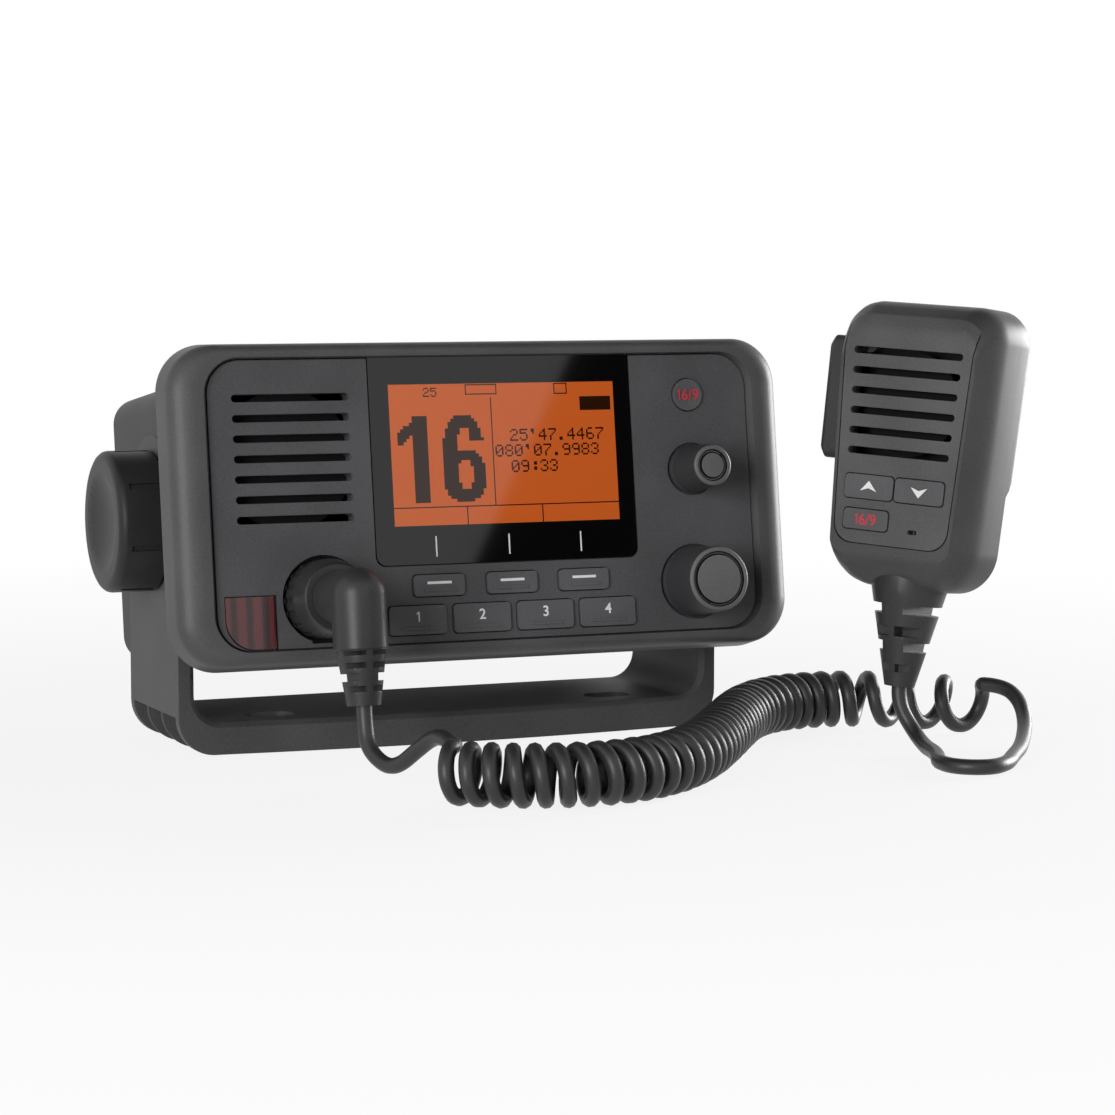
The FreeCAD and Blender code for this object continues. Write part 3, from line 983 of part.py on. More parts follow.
# ================================================================ cord
def route_wire(points, name):
    """Straight runs joined by tangent arcs; an arc takes 0.45 of the shorter of its two runs."""
    edges = []
    radii = []
    last = points[0]
    for i in range(1, len(points) - 1):
        before, here, after = points[i - 1], points[i], points[i + 1]
        a, b = before - here, after - here
        reach = 0.45 * min(a.Length, b.Length)
        half = (math.pi - a.getAngle(b)) / 2.0
        radius = reach / math.tan(half)
        a.normalize()
        b.normalize()
        start, end = here + a * reach, here + b * reach
        middle = here + (a + b).normalize() * (radius / math.cos(half) - radius)
        edges.append(Part.LineSegment(last, start).toShape())
        edges.append(Part.Arc(start, middle, end).toShape())
        radii.append((round(radius, 1), round(math.degrees(2 * half))))
        last = end
    edges.append(Part.LineSegment(last, points[-1]).toShape())
    wire = Part.Wire(edges)
    print(name, "length %.1f  radius and turn at each point:" % wire.Length, radii)
    return wire


def tube(points, diameter, name):
    wire = route_wire(points, name)
    start = (points[1] - points[0]).normalize()
    ring = Part.Wire(Part.makeCircle(diameter / 2.0, points[0], start))
    solid = wire.makePipeShell([ring], True, False)
    share = solid.Volume / (math.pi * diameter ** 2 / 4.0 * wire.Length)
    print(name, "volume over section times length %.4f" % share)
    return solid


def lead_exit():
    """Points at and below the end of the plug's cord guard, in the row's frame."""
    turn = FreeCAD.Rotation(V(1, 0, 0), -HEAD_TILT)
    places = []
    for drop in (0.0, 6.0):
        local = V(SOCKET_AT[0], panel_y(PLUG_AXIS_OUT), BARREL_END + BEZEL_RISE - PLUG_BOOT_L - drop)
        places.append(turn.multVec(local) + V(0, 0, PIVOT_Z))
    return places


def tail_exit():
    """Points below and at the end of the microphone's cord guard, in the row's frame."""
    places = []
    for drop in (5.0, 0.0):
        point = V(0, MIC_BOOT_Y, MIC_BOOT_END - drop)
        for axis, angle in ((V(0, 1, 0), MIC_ROLL), (V(1, 0, 0), MIC_PITCH), (V(0, 0, 1), MIC_YAW)):
            point = FreeCAD.Rotation(axis, angle).multVec(point)
        places.append(point + V(MIC_X, MIC_Y, MIC_Z))
    return places


# ================================================================ all pieces
def main():
    os.makedirs("parts", exist_ok=True)
    write("bracket", bracket())
    for side, sign in (("left", -1), ("right", 1)):
        write("knob_" + side, head(clamp_knob(sign)))
        write("stud_" + side, head(clamp_stud(sign)))
    boss_out = ARM_OUT - ARM_T - WASHER_T
    write("pivot_washers", head(ring_pair(WASHER_R, STUD_R + GAP, boss_out, WASHER_T - GAP)))
    write("pivot_inserts", head(ring_pair(INSERT_R, STUD_R + KNOB_FIT, boss_out - INSERT_LENGTH, INSERT_LENGTH)))

    write("front_bezel", head(front_bezel()))
    write("face_panel", head(face_panel()))
    write("window_glass", head(window_glass()))
    write("lcd_panel", head(plate(LCD_W, LCD_H, 0.6, -PANEL_T, -PANEL_T - LCD_T, LCD_AT)))
    write("lcd_backlight", head(plate(LCD_W, LCD_H, 0.6, -PANEL_T - LCD_T, -BEZEL_INNER_DEPTH, LCD_AT)))
    for i, at in enumerate(soft_key_places()):
        write("soft_key_%d" % (i + 1), head(key(SOFT_KEY, at)))
    for i, at in enumerate(function_key_places()):
        write("function_key_%d" % (i + 1), head(key(FUNCTION_KEY, at)))
    write("power_key", head(power_key()))
    for name, at, base_r, cap_r, height in (("volume", VOLUME_AT, VOLUME_R, VOLUME_CAP_R, VOLUME_H),
                                            ("select", SELECT_AT, SELECT_R, SELECT_CAP_R, SELECT_H)):
        write(name + "_knob", head(control_knob(at, base_r, cap_r, height)))
        write(name + "_shaft", head(control_shaft(at, height)))
        write(name + "_encoder", head(encoder(at)))
    write("distress_cover", head(distress_cover()))
    write("distress_button", head(distress_button()))
    write("distress_hinge_pin", head(hinge_pin()))
    write("mic_socket", head(mic_socket()))
    write("plug_collar", head(plug_collar()))
    write("plug_body", head(plug_body()))
    write("plug_boot", head(plug_boot()))

    write("front_gasket", head(front_gasket()))
    write("rear_chassis", head(rear_chassis()))
    write("case_screws", head(case_screws()))
    write("front_board", head(front_board()))
    write("speaker", head(speaker()))
    write("speaker_membrane", head(speaker_membrane()))
    write("main_board", head(main_board()))
    write("rf_shield", head(rf_shield()))
    write("antenna_jack", head(antenna_jack()))
    write("power_gland", head(cable_gland(POWER_GLAND_AT)))
    write("data_gland", head(cable_gland(DATA_GLAND_AT)))

    form = mic_front_form()
    write("mic_front_shell", microphone(mic_front_shell(form)))
    write("mic_face_panel", microphone(mic_face_panel(form)))
    write("mic_rear_shell", microphone(mic_rear_shell()))
    for name, width, height, x, z in mic_key_places():
        write(name, microphone(mic_key(width, height, x, z)))
    write("mic_ptt_button", microphone(mic_ptt_button()))
    write("mic_hang_stud", microphone(mic_hang_stud()))
    write("mic_screws", microphone(mic_screws()))
    write("mic_board", microphone(mic_board()))
    write("mic_speaker", microphone(mic_speaker()))
    capsule_y = MIC_PANEL_T + 2.0
    write("mic_capsule", microphone(peg(MIC_CAPSULE_R, capsule_y, capsule_y + MIC_CAPSULE_L, *MIC_HOLE_AT)))
    write("mic_boot", microphone(mic_boot()))

    write("cord_lead", tube(lead_exit() + LEAD_ROUTE, CORD_D, "cord_lead"))
    write("cord_coil", tube(COIL_ROUTE, COIL_OD, "cord_coil"))
    write("cord_tail", tube(TAIL_ROUTE + tail_exit(), CORD_D, "cord_tail"))


main()
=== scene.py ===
# %% [markdown]
# # A marine VHF radio with its fist microphone
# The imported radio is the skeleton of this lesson: each of its solids is already where it belongs, at its
# real size, in metres. The lesson gives every solid the finish of the real thing, and adds what a solid
# modeller leaves out: the wound cord, the printed legends and the picture on the display.

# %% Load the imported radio
import json
import math
import bpy
from mathutils import Matrix, Vector


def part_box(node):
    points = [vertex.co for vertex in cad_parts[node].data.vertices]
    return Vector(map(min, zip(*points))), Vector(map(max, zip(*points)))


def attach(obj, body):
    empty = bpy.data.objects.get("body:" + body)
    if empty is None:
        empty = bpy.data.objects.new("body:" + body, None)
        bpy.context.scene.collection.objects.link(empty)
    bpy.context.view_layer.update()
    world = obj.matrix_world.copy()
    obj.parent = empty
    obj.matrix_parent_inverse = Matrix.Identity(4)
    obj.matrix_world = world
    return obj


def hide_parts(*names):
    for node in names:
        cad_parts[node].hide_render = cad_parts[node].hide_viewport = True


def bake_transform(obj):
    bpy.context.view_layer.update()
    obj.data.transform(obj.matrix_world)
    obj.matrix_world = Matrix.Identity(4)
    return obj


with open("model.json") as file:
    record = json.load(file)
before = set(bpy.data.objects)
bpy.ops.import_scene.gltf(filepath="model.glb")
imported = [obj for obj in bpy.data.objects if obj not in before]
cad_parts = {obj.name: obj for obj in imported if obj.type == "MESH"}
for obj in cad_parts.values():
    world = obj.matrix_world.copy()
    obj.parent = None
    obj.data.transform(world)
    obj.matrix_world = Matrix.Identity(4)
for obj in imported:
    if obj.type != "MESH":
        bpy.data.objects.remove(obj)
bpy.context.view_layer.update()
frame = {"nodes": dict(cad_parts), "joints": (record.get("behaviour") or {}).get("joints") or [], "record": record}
nodes = frame["nodes"]
bodies = frame["record"]["behaviour"]["bodies"]
MM = 0.001
print("solids:", len(nodes), " bodies:", len(bodies))

# %% [markdown]
# ## Two drawing boards
# The head leans back in its bracket and the microphone stands turned, so nothing on them is square to the
# world. A matrix for each turns drawing-board millimetres (right, up, out of the face) into metres in the
# scene. Their directions come from the joints: a key on the head travels straight into the panel, and a key
# on the microphone straight into its face.

# %% Boards of the head and the microphone
axes = {joint["name"]: Vector(joint["axis"]) for joint in frame["joints"]}


def board(inward, upward, centre):
    """Matrix from board millimetres (right, up, out) to metres in the scene."""
    out = -inward.normalized()
    right = upward.cross(out).normalized()
    up = out.cross(right)
    turn = Matrix((right, up, out)).transposed().to_4x4()
    return Matrix.Translation(centre) @ turn @ Matrix.Diagonal((MM, MM, MM, 1.0))


PANEL_THICKNESS = 3.2 * MM
MICROPHONE_AT = Vector((107.5, -101.0, 101.2)) * MM    # middle of the microphone's speaker slots
UP = Vector((0, 0, 1))

press = axes["power_key_press"]                        # straight into the panel
panel_low, panel_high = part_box("face_panel")
HEAD = board(press, UP, (panel_low + panel_high) / 2 - press * PANEL_THICKNESS / 2)
mic_right = axes["mic_ptt_press"]
mic_in = axes["mic_up_key_press"]
MICROPHONE = board(mic_in, mic_right.cross(mic_in), MICROPHONE_AT)


def extent(name, matrix):
    """Lowest and highest corner of a solid on a board, in millimetres."""
    back = matrix.inverted()
    points = [back @ vertex.co for vertex in nodes[name].data.vertices]
    low = Vector([min(p[i] for p in points) for i in range(3)])
    high = Vector([max(p[i] for p in points) for i in range(3)])
    return low, high


def face_of(name, matrix):
    """Middle of a solid on a board, across and up, and how far out its face stands, in millimetres."""
    low, high = extent(name, matrix)
    return (low.x + high.x) / 2, (low.y + high.y) / 2, high.z


for name, matrix in (("face_panel", HEAD), ("mic_front_shell", MICROPHONE)):
    print(name, "on its board:", [tuple(round(c, 1) for c in corner) for corner in extent(name, matrix)])

# %% [markdown]
# ## Camera
# A long lens from a little left of the front and just above the display keeps the face nearly square, as a
# catalogue picture does. It is aimed by its own angles, because an aim point would tilt with every change.

# %% Camera
camera = bpy.data.objects.new("camera", bpy.data.cameras.new("camera"))
camera.location = Vector((-352.9, -918.3, 142.4)) * MM
camera.rotation_euler = (math.radians(84.77), 0.0, math.radians(-23.35))     # 5 degrees down, 23 right
camera.data.lens = 105.35
camera.data.sensor_width = 36.0
camera.data.clip_start, camera.data.clip_end = 0.02, 60.0                    # metres
bpy.context.scene.collection.objects.link(camera)
bpy.context.scene.camera = camera
bpy.context.scene.view_settings.view_transform = "Standard"
print("camera at", [round(c, 3) for c in camera.location], "lens", camera.data.lens)

# %% [markdown]
# ## Colours and nodes
# Colours are written the way a paint chart or a web page gives them, as six hex digits, and Blender wants
# light amounts. One function turns the first into the second. A second function adds a shader node, sets it
# and wires it, so that a material below reads like a recipe.

# %% Colour and node helpers
def tint(code):
    """Linear RGBA from an sRGB hex colour."""
    parts = [int(code[i:i + 2], 16) / 255.0 for i in (0, 2, 4)]
    return tuple(c / 12.92 if c <= 0.04045 else ((c + 0.055) / 1.055) ** 2.4 for c in parts) + (1.0,)


def node(owner, kind, sockets=None, **settings):
    """Adds a shader node. A socket takes a plain value, or (node, output) to be wired."""
    made = owner.node_tree.nodes.new("ShaderNode" + kind)
    for name, value in settings.items():
        setattr(made, name, value)
    for name, value in (sockets or {}).items():
        if isinstance(value, tuple) and isinstance(value[0], bpy.types.Node):
            owner.node_tree.links.new(value[0].outputs[value[1]], made.inputs[name])
        else:
            made.inputs[name].default_value = value
    return made


def blank(name):
    """A material with an empty node tree."""
    material = bpy.data.materials.new(name)
    material.use_nodes = True
    material.node_tree.nodes.clear()
    return material


print("mid grey 808080 is", [round(c, 3) for c in tint("808080")])

# %% [markdown]
# ## Moulded plastics and rubbers
# Nearly everything here is injection moulded. The tool's steel is spark-eroded or etched, and its fine pits
# come out on the plastic as a grain of a few tenths of a millimetre: it scatters the highlight and makes the
# colour look dusty. So each of these finishes is one base colour, a grain that lightens and darkens it a
# little, the same grain as bump, and a slow cloud over a few centimetres, because no moulding is even.

# %% Moulded finish
CLOUD = 24.0                     # size of the slow unevenness, millimetres
NOISE_LOW, NOISE_HIGH = 0.38, 0.62       # nearly all of the mixed noise lies between these
SWING = 1.6                      # how many contrasts the darkest and lightest grains lie off the colour
ROUGHER = 0.05                   # how far the roughness drifts either way


def moulded(name, colour, grain, relief, roughness, level=0.22, contrast=0.12):
    """Grained moulding: colour as hex, size of a grain and relief of the bump in millimetres."""
    material = blank(name)
    base = tint(colour)
    spot = (node(material, "TexCoord"), "Object")
    grains = node(material, "TexNoise", {"Vector": spot, "Scale": 1 / (grain * MM), "Detail": 2.0})
    clouds = node(material, "TexNoise", {"Vector": spot, "Scale": 1 / (CLOUD * MM), "Detail": 1.0})
    both = node(material, "Math", {0: (grains, "Fac"), 1: (clouds, "Fac")}, operation="ADD")
    half = node(material, "Math", {0: (both, 0), 1: 0.5}, operation="MULTIPLY")
    ramp = node(material, "ValToRGB", {"Fac": (half, 0)})
    for stop, position, swing in zip(ramp.color_ramp.elements, (NOISE_LOW, NOISE_HIGH), (-SWING, SWING)):
        stop.position = position
        stop.color = tuple(min(1.0, c * (1 + swing * contrast)) for c in base[:3]) + (1.0,)
    sheen = node(material, "MapRange", {"Value": (clouds, "Fac"), "To Min": roughness - ROUGHER,
                                       "To Max": roughness + ROUGHER})
    bump = node(material, "Bump", {"Height": (grains, "Fac"), "Distance": relief * MM, "Strength": 1.0})
    skin = node(material, "BsdfPrincipled", {"Base Color": (ramp, "Color"), "Roughness": (sheen, "Result"),
                                            "Normal": (bump, "Normal"), "Specular IOR Level": level,
                                            "IOR": 1.5})
    node(material, "OutputMaterial", {"Surface": (skin, "BSDF")})
    return material


# Glass-filled nylon of the bracket: an even, dry charcoal with a coarse grain.
bracket_nylon = moulded("glass_filled_nylon", "4b4b4c", 0.45, 0.05, 0.55)
# Polycarbonate-ABS of the bezel: etched satin, a shade smoother than the panel.
bezel_abs = moulded("satin_pc_abs", "515152", 0.32, 0.022, 0.42)
# The face panel is sprayed with a soft-touch coat over the same plastic.
panel_coat = moulded("soft_touch_panel", "505052", 0.38, 0.035, 0.5)
# Clamp knobs: the same compound as the bezel, a little duller, for the hand; their colour is darkened as painted
# shade, because the large lamp faces them.
clamp_knob_painted_shade = moulded("clamp_knob_abs_painted_shade", "2c2c2d", 0.4, 0.025, 0.45, level=0.18)
# Keys and the caps of the control knobs are silicone over plastic, matt and lighter than the panel.
key_silicone = moulded("key_silicone", "5a5a5c", 0.3, 0.02, 0.5)
control_silicone = moulded("knob_silicone", "686869", 0.3, 0.02, 0.46)
# The sleeves of the control knobs are the same silicone with a coarser relief for the fingers, painted darker:
# painted shade on the knobs' sides.
painted_sleeve_shade = moulded("knob_sleeve_painted_shade", "38383a", 0.3, 0.03, 0.5)
# The ring groove in the cap of a control knob is smooth and shining; its black is painted shade in the groove.
groove_painted_shade = moulded("knob_groove_painted_shade", "0b0b0c", 0.3, 0.003, 0.25, level=0.2)
# Thermoplastic elastomer of the plug, its collar and both cord guards: dark, softly shining.
plug_elastomer = moulded("plug_elastomer", "343435", 0.5, 0.012, 0.38, level=0.28)
# Microphone shells are satin ABS; the face panel set into the front one is lighter and duller.
mic_abs = moulded("microphone_abs", "4a4a4b", 0.35, 0.022, 0.42)
mic_face_abs = moulded("microphone_face_abs", "565657", 0.34, 0.03, 0.48)
# Push-to-talk bar: a harder elastomer, matt and dark.
mic_bar_elastomer = moulded("push_bar_elastomer", "3a3a3b", 0.4, 0.03, 0.5)
# Curly cord jacket: polyurethane, black and a little glossy.
cord_jacket = moulded("cord_polyurethane", "2e2e2f", 0.6, 0.008, 0.42, level=0.38, contrast=0.08)
# Dark mouldings that hide in gaps: the microphone socket, then the foam of the gasket and the glands.
socket_pbt = moulded("socket_pbt", "202021", 0.4, 0.02, 0.45)
gasket_foam = moulded("gasket_epdm", "1c1c1c", 0.5, 0.05, 0.7)
print("moulded finishes:", [material.name for material in bpy.data.materials])

# %% [markdown]
# ## Metals, boards and clear parts
# A metal has one colour, which is its reflection, and what gives it away is how that reflection is broken:
# a ground, plated or oxidised skin blurs it unevenly, in flecks of a few tenths of a millimetre. The clear
# red cover of the distress button is polycarbonate. It lets light through and tints it, so its finish is a
# transmissive one, and the upright ribs moulded into its back show through as darker bands.

# %% Other finishes
FLECK, FLECK_RELIEF = 0.3, 0.01          # size and height of a metal's flecks, millimetres
UNEVEN = 0.08                            # how far a metal's roughness drifts either way
HAZE = 1.5                               # size of the faint haze in a clear moulding, millimetres


def metal(name, colour, roughness):
    """Plain metal with a finely broken surface."""
    material = blank(name)
    spot = (node(material, "TexCoord"), "Object")
    flecks = node(material, "TexNoise", {"Vector": spot, "Scale": 1 / (FLECK * MM), "Detail": 3.0})
    sheen = node(material, "MapRange", {"Value": (flecks, "Fac"), "To Min": roughness - UNEVEN,
                                       "To Max": roughness + UNEVEN})
    bump = node(material, "Bump", {"Height": (flecks, "Fac"), "Distance": FLECK_RELIEF * MM,
                                   "Strength": 1.0})
    skin = node(material, "BsdfPrincipled", {"Base Color": tint(colour), "Metallic": 1.0,
                                            "Roughness": (sheen, "Result"), "Normal": (bump, "Normal")})
    node(material, "OutputMaterial", {"Surface": (skin, "BSDF")})
    return material


def clear(name, colour, deep, roughness, transmission, rib):
    """See-through plastic, tinted in its body and deeper over ribs that lie `rib` millimetres apart."""
    material = blank(name)
    spot = (node(material, "TexCoord"), "Object")
    haze = node(material, "TexNoise", {"Vector": spot, "Scale": 1 / (HAZE * MM), "Detail": 2.0})
    # A wave texture runs through one wave over 2 pi / 20 of its own coordinate, hence the odd scale.
    ribs = node(material, "TexWave", {"Vector": spot, "Scale": 2 * math.pi / (20 * rib * MM),
                                      "Distortion": 1.2, "Detail": 1.0, "Detail Scale": 0.3})
    body = node(material, "ValToRGB", {"Fac": (ribs, "Fac")})
    for stop, position, shade in zip(body.color_ramp.elements, (0.15, 0.6), (deep, colour)):
        stop.position, stop.color = position, tint(shade)
    sheen = node(material, "MapRange", {"Value": (haze, "Fac"), "To Min": roughness,
                                       "To Max": roughness + 0.06})
    skin = node(material, "BsdfPrincipled", {"Base Color": (body, "Color"), "Roughness": (sheen, "Result"),
                                            "Transmission Weight": transmission, "IOR": 1.58})
    node(material, "OutputMaterial", {"Surface": (skin, "BSDF")})
    return material


# Die-cast aluminium under black powder paint: coarse orange peel.
chassis_paint = moulded("powder_coated_casting", "2c2c2d", 0.9, 0.06, 0.5)
# Studs, shafts and screws are ground stainless; the hinge pin of the cover is oxidised black.
stainless = metal("stainless_steel", "b9b8b4", 0.3)
black_steel = metal("black_oxide_steel", "2b2b2c", 0.45)
# Threaded inserts are turned brass, jack and shield are nickel plated, the speaker's basket is zinc plated.
brass = metal("turned_brass", "c9a45a", 0.3)
nickel = metal("nickel_plate", "c4c0b4", 0.22)
speaker_zinc = metal("zinc_plated_steel", "a9a9a6", 0.4)
# Circuit boards: woven glass under a smooth green mask.
circuit_board = moulded("solder_mask_green", "1f4a2c", 1.2, 0.02, 0.35, level=0.5)
# The microphone's board has a black mask, so that nothing shines through its speaker slots.
black_mask = moulded("solder_mask_black", "121213", 1.2, 0.02, 0.45)
# Encoders behind the control knobs and the microphone's capsule: dull dark epoxy.
grey_component = moulded("component_epoxy", "3a3a3c", 0.4, 0.02, 0.45)
# Light guide and display glass: pale, smooth acrylic that shows no grain.
light_guide = moulded("backlight_acrylic", "d8d2c6", 0.8, 0.01, 0.3, level=0.5, contrast=0.03)
# Doped paper of the microphone's speaker cone: soot black and fibrous, so its slots look into the dark.
cone_paper = moulded("doped_cone_paper", "151516", 0.7, 0.05, 0.75, level=0.1)
# Thrust washers: natural nylon, waxy and off-white.
white_nylon = moulded("washer_nylon", "c9c7c0", 0.5, 0.02, 0.45, contrast=0.04)
# Cloth over the speaker: woven, black and quite matt.
membrane_cloth = moulded("membrane_cloth", "161617", 0.5, 0.08, 0.8)
# The distress button is signal-red silicone, and its cover clear polycarbonate of a deeper red.
red_silicone = moulded("distress_silicone", "8c2a28", 0.5, 0.03, 0.45)
cover_red = clear("red_polycarbonate", "86383a", "431619", 0.12, 0.6, 4.6)
print("all finishes so far:", len(bpy.data.materials))

# %% [markdown]
# ## Window and display
# The window is one sheet of acrylic, black on its back except over the display. What the eye meets is a
# single glossy front, so the sheet is given as black gloss and the lit field as a thin face flush with it,
# with the same gloss: a reflection then runs across both without a break, as it does on the real sheet.

# %% Window finishes
PIXEL = 0.42             # the display's pixel pitch, millimetres
CHECK = 0.9              # every other pixel is this share of the colour, so that the grid shows


def glossy(name, colour, glow=0.0, dots=0.0):
    """Polished front of the window. A lit field glows; dots is the pitch of its pixels in millimetres."""
    material = blank(name)
    shade = tint(colour)
    if dots:
        darker = tuple(c * CHECK for c in shade[:3]) + (1.0,)
        spot = (node(material, "UVMap"), "UV")
        shade = (node(material, "TexChecker", {"Vector": spot, "Scale": 1 / dots, "Color1": shade,
                                               "Color2": darker}), "Color")
    lit = {"Emission Color": shade, "Emission Strength": glow} if glow else {}
    skin = node(material, "BsdfPrincipled", {"Base Color": shade, "Roughness": 0.04, "IOR": 1.5, **lit})
    node(material, "OutputMaterial", {"Surface": (skin, "BSDF")})
    return material


# Acrylic that is black from behind: all that the eye gets is the room mirrored in it.
window_black = glossy("window_acrylic", "0a0a0b")
# The backlight glows amber through the unlit pixels; the liquid crystal's segments are brown-black.
display_amber = glossy("display_amber", "b3521f", glow=0.44, dots=PIXEL)
display_ink = glossy("display_segments", "2c1408", glow=0.1)
print("window and display finishes:", [m.name for m in (window_black, display_amber, display_ink)])

# %% [markdown]
# ## Who wears what
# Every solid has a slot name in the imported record. One table pairs the slots with finishes, so a new solid
# in the same slot is dressed with no more work.

# %% Dress the solids
finishes = {
    "bracket_plastic": bracket_nylon, "knob_plastic": clamp_knob_painted_shade, "steel_stud": stainless,
    "washer_nylon": white_nylon, "insert_brass": brass, "bezel_plastic": bezel_abs,
    "panel_plastic": panel_coat, "window_glass": window_black, "display": light_guide,
    "backlight": light_guide, "key_rubber": key_silicone, "control_plastic": control_silicone,
    "shaft_steel": stainless, "component_grey": grey_component, "cover_red": cover_red,
    "button_red": red_silicone, "pin_steel": black_steel, "socket_plastic": socket_pbt,
    "plug_rubber": plug_elastomer, "gasket_rubber": gasket_foam, "case_metal": chassis_paint,
    "screw_steel": stainless, "board_green": circuit_board, "speaker_metal": speaker_zinc,
    "membrane_fabric": membrane_cloth, "shield_steel": nickel, "jack_metal": nickel,
    "gland_rubber": gasket_foam, "mic_plastic": mic_abs, "mic_panel_plastic": mic_face_abs,
    "ptt_rubber": mic_bar_elastomer, "cord_pvc": cord_jacket,
}
own_finish = {"mic_speaker": cone_paper, "mic_board": black_mask}      # these two differ from their slot
slot_of = {part["node"]: part["material_slot"] for part in frame["record"]["subparts"]}
body_of = {name: body for body, members in bodies.items() for name in members}
for name, solid in nodes.items():
    solid.data.materials.clear()
    solid.data.materials.append(own_finish.get(name, finishes[slot_of[name]]))
print("dressed:", len(slot_of), "solids in", len(set(slot_of.values())), "slots")

# %% [markdown]
# ## Eased edges
# A moulding has no knife edges: the tool's corners leave a radius of a few tenths of a millimetre, and that
# radius is what catches the light and draws the outline of every key and slot. The solids are sharp, so the
# visible ones get a stand-in: a copy of the solid, its loose triangles merged and its flat faces joined,
# then a bevel on every edge that turns by more than the limit. The copy keeps the solid's exact size. The
# last modifier weighs each corner's normal by the area of its faces, so that a large flat face stays flat up
# to its rounded edge and only the narrow rounding takes the turn of the light.

# %% Tools for easing
def only(piece):
    """Selects one object and nothing else, and makes it active."""
    bpy.ops.object.select_all(action="DESELECT")
    piece.select_set(True)
    bpy.context.view_layer.objects.active = piece


def apply_all(piece):
    """Bakes every modifier of a piece into its mesh."""
    only(piece)
    for name in [modifier.name for modifier in piece.modifiers]:
        bpy.ops.object.modifier_apply(modifier=name)


MERGE = 0.002            # corners of loose triangles closer than this are one, millimetres
FLAT = 0.6               # triangles that meet within this angle are one face, degrees
SHARP = 38.0             # an edge that turns by more than this is rounded
SMOOTH = 32.0            # and a facet that turns by less than this is shaded as a curve


def eased(name, edge):
    """Stand-in for a solid with its sharp edges rounded by `edge` millimetres."""
    piece = bpy.data.objects.new(name + "_finished", nodes[name].data.copy())
    bpy.context.scene.collection.objects.link(piece)
    only(piece)
    bpy.ops.object.mode_set(mode="EDIT")
    bpy.ops.mesh.select_all(action="SELECT")
    bpy.ops.mesh.customdata_custom_splitnormals_clear()
    bpy.ops.mesh.remove_doubles(threshold=MERGE * MM)
    bpy.ops.mesh.dissolve_limited(angle_limit=math.radians(FLAT), use_dissolve_boundaries=False)
    bpy.ops.object.mode_set(mode="OBJECT")
    bevel = piece.modifiers.new("edge", "BEVEL")
    bevel.width = edge * MM
    bevel.segments = 2
    bevel.limit_method = "ANGLE"
    bevel.angle_limit = math.radians(SHARP)
    bevel.use_clamp_overlap = True
    apply_all(piece)
    bpy.ops.object.shade_smooth_by_angle(angle=math.radians(SMOOTH))
    weighted = piece.modifiers.new("flat_faces", "WEIGHTED_NORMAL")
    weighted.mode = "FACE_AREA"
    weighted.keep_sharp = True
    apply_all(piece)
    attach(piece, body_of[name])
    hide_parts(name)
    return piece


# %% Ease the visible mouldings
# How wide each moulding's rounded edges are, in millimetres.
EDGES = {"bracket": 0.5, "knob_left": 0.35, "knob_right": 0.35, "front_bezel": 0.35, "face_panel": 0.28,
         "power_key": 0.2, "volume_knob": 0.25, "select_knob": 0.3, "distress_cover": 0.12,
         "plug_body": 0.5, "plug_collar": 0.25, "plug_boot": 0.25, "rear_chassis": 0.5,
         "mic_front_shell": 0.35, "mic_face_panel": 0.32, "mic_rear_shell": 0.35, "mic_up_key": 0.28,
         "mic_down_key": 0.28, "mic_channel_key": 0.28, "mic_ptt_button": 0.3, "mic_boot": 0.3,
         "mic_hang_stud": 0.3}
for name in nodes:
    if "_key_" in name and not name.startswith("mic"):
        EDGES[name] = 0.3        # the seven rectangular keys of the head
finished = {name: eased(name, edge) for name, edge in EDGES.items()}
for name, piece in finished.items():
    print("%-18s %6d faces" % (name, len(piece.data.polygons)))

# %% [markdown]
# ## Control knobs
# A control knob has three looks: a lighter cap that is seen and pressed, a sleeve that fingers turn, painted
# darker as the shade on the knob's sides, and a ring groove in the cap, smooth and painted black as the shade
# in it. One mesh wears all three, so that nothing has to be cut apart: each of its faces takes a finish by
# where it lies, in the groove, on the side or on the cap.

# %% Sleeves and ring grooves
GROOVES = {"volume_knob": (3.5, 4.8), "select_knob": (6.9, 8.2)}      # between these radii, millimetres
GROOVE_FROM = 0.3        # and this far behind the cap's face
CAP_DEPTH = 1.4          # all that lies further back than this is sleeve
for name, (inner, outer) in GROOVES.items():
    x, y, out = face_of(name, HEAD)
    mesh = finished[name].data
    mesh.materials.append(painted_sleeve_shade)
    mesh.materials.append(groove_painted_shade)
    # Faces turned sideways or set back wear the sleeve's painted shade, and faces in the groove its painted black
    # shade.
    for face in mesh.polygons:
        spot = HEAD.inverted() @ face.center
        if inner < math.hypot(spot.x - x, spot.y - y) < outer and spot.z < out - GROOVE_FROM:
            face.material_index = 2
        elif abs(face.normal.dot(press)) < 0.5 or spot.z < out - CAP_DEPTH:
            face.material_index = 1
        else:
            face.material_index = 0
    worn = [face.material_index for face in mesh.polygons]
    print(name, "cap, sleeve and groove faces:", [worn.count(index) for index in range(3)])

# %% [markdown]
# ## Printed legends
# Pad printing lays ink a few hundredths of a millimetre thick. Each legend is a shallow plate: a plane drawn
# at its size and pushed out, or a letter form from the built-in face, turned into a mesh and set on the key
# with the board's matrix. Numbers stand on the lower keys, bars on the upper ones, arrowheads on the
# microphone, and red figures on the two keys that call channels 16 and 9.

# %% Inks
def ink(name, colour):
    """Pad-printed ink: one colour, slightly broken by the texture under it."""
    return moulded(name, colour, 0.3, 0.01, 0.5, contrast=0.05)


INK = 0.04       # thickness of a printed legend, millimetres
white_ink = ink("white_ink", "f0f0f0")
red_ink = ink("red_ink", "c2434b")
print("inks:", white_ink.name, red_ink.name)


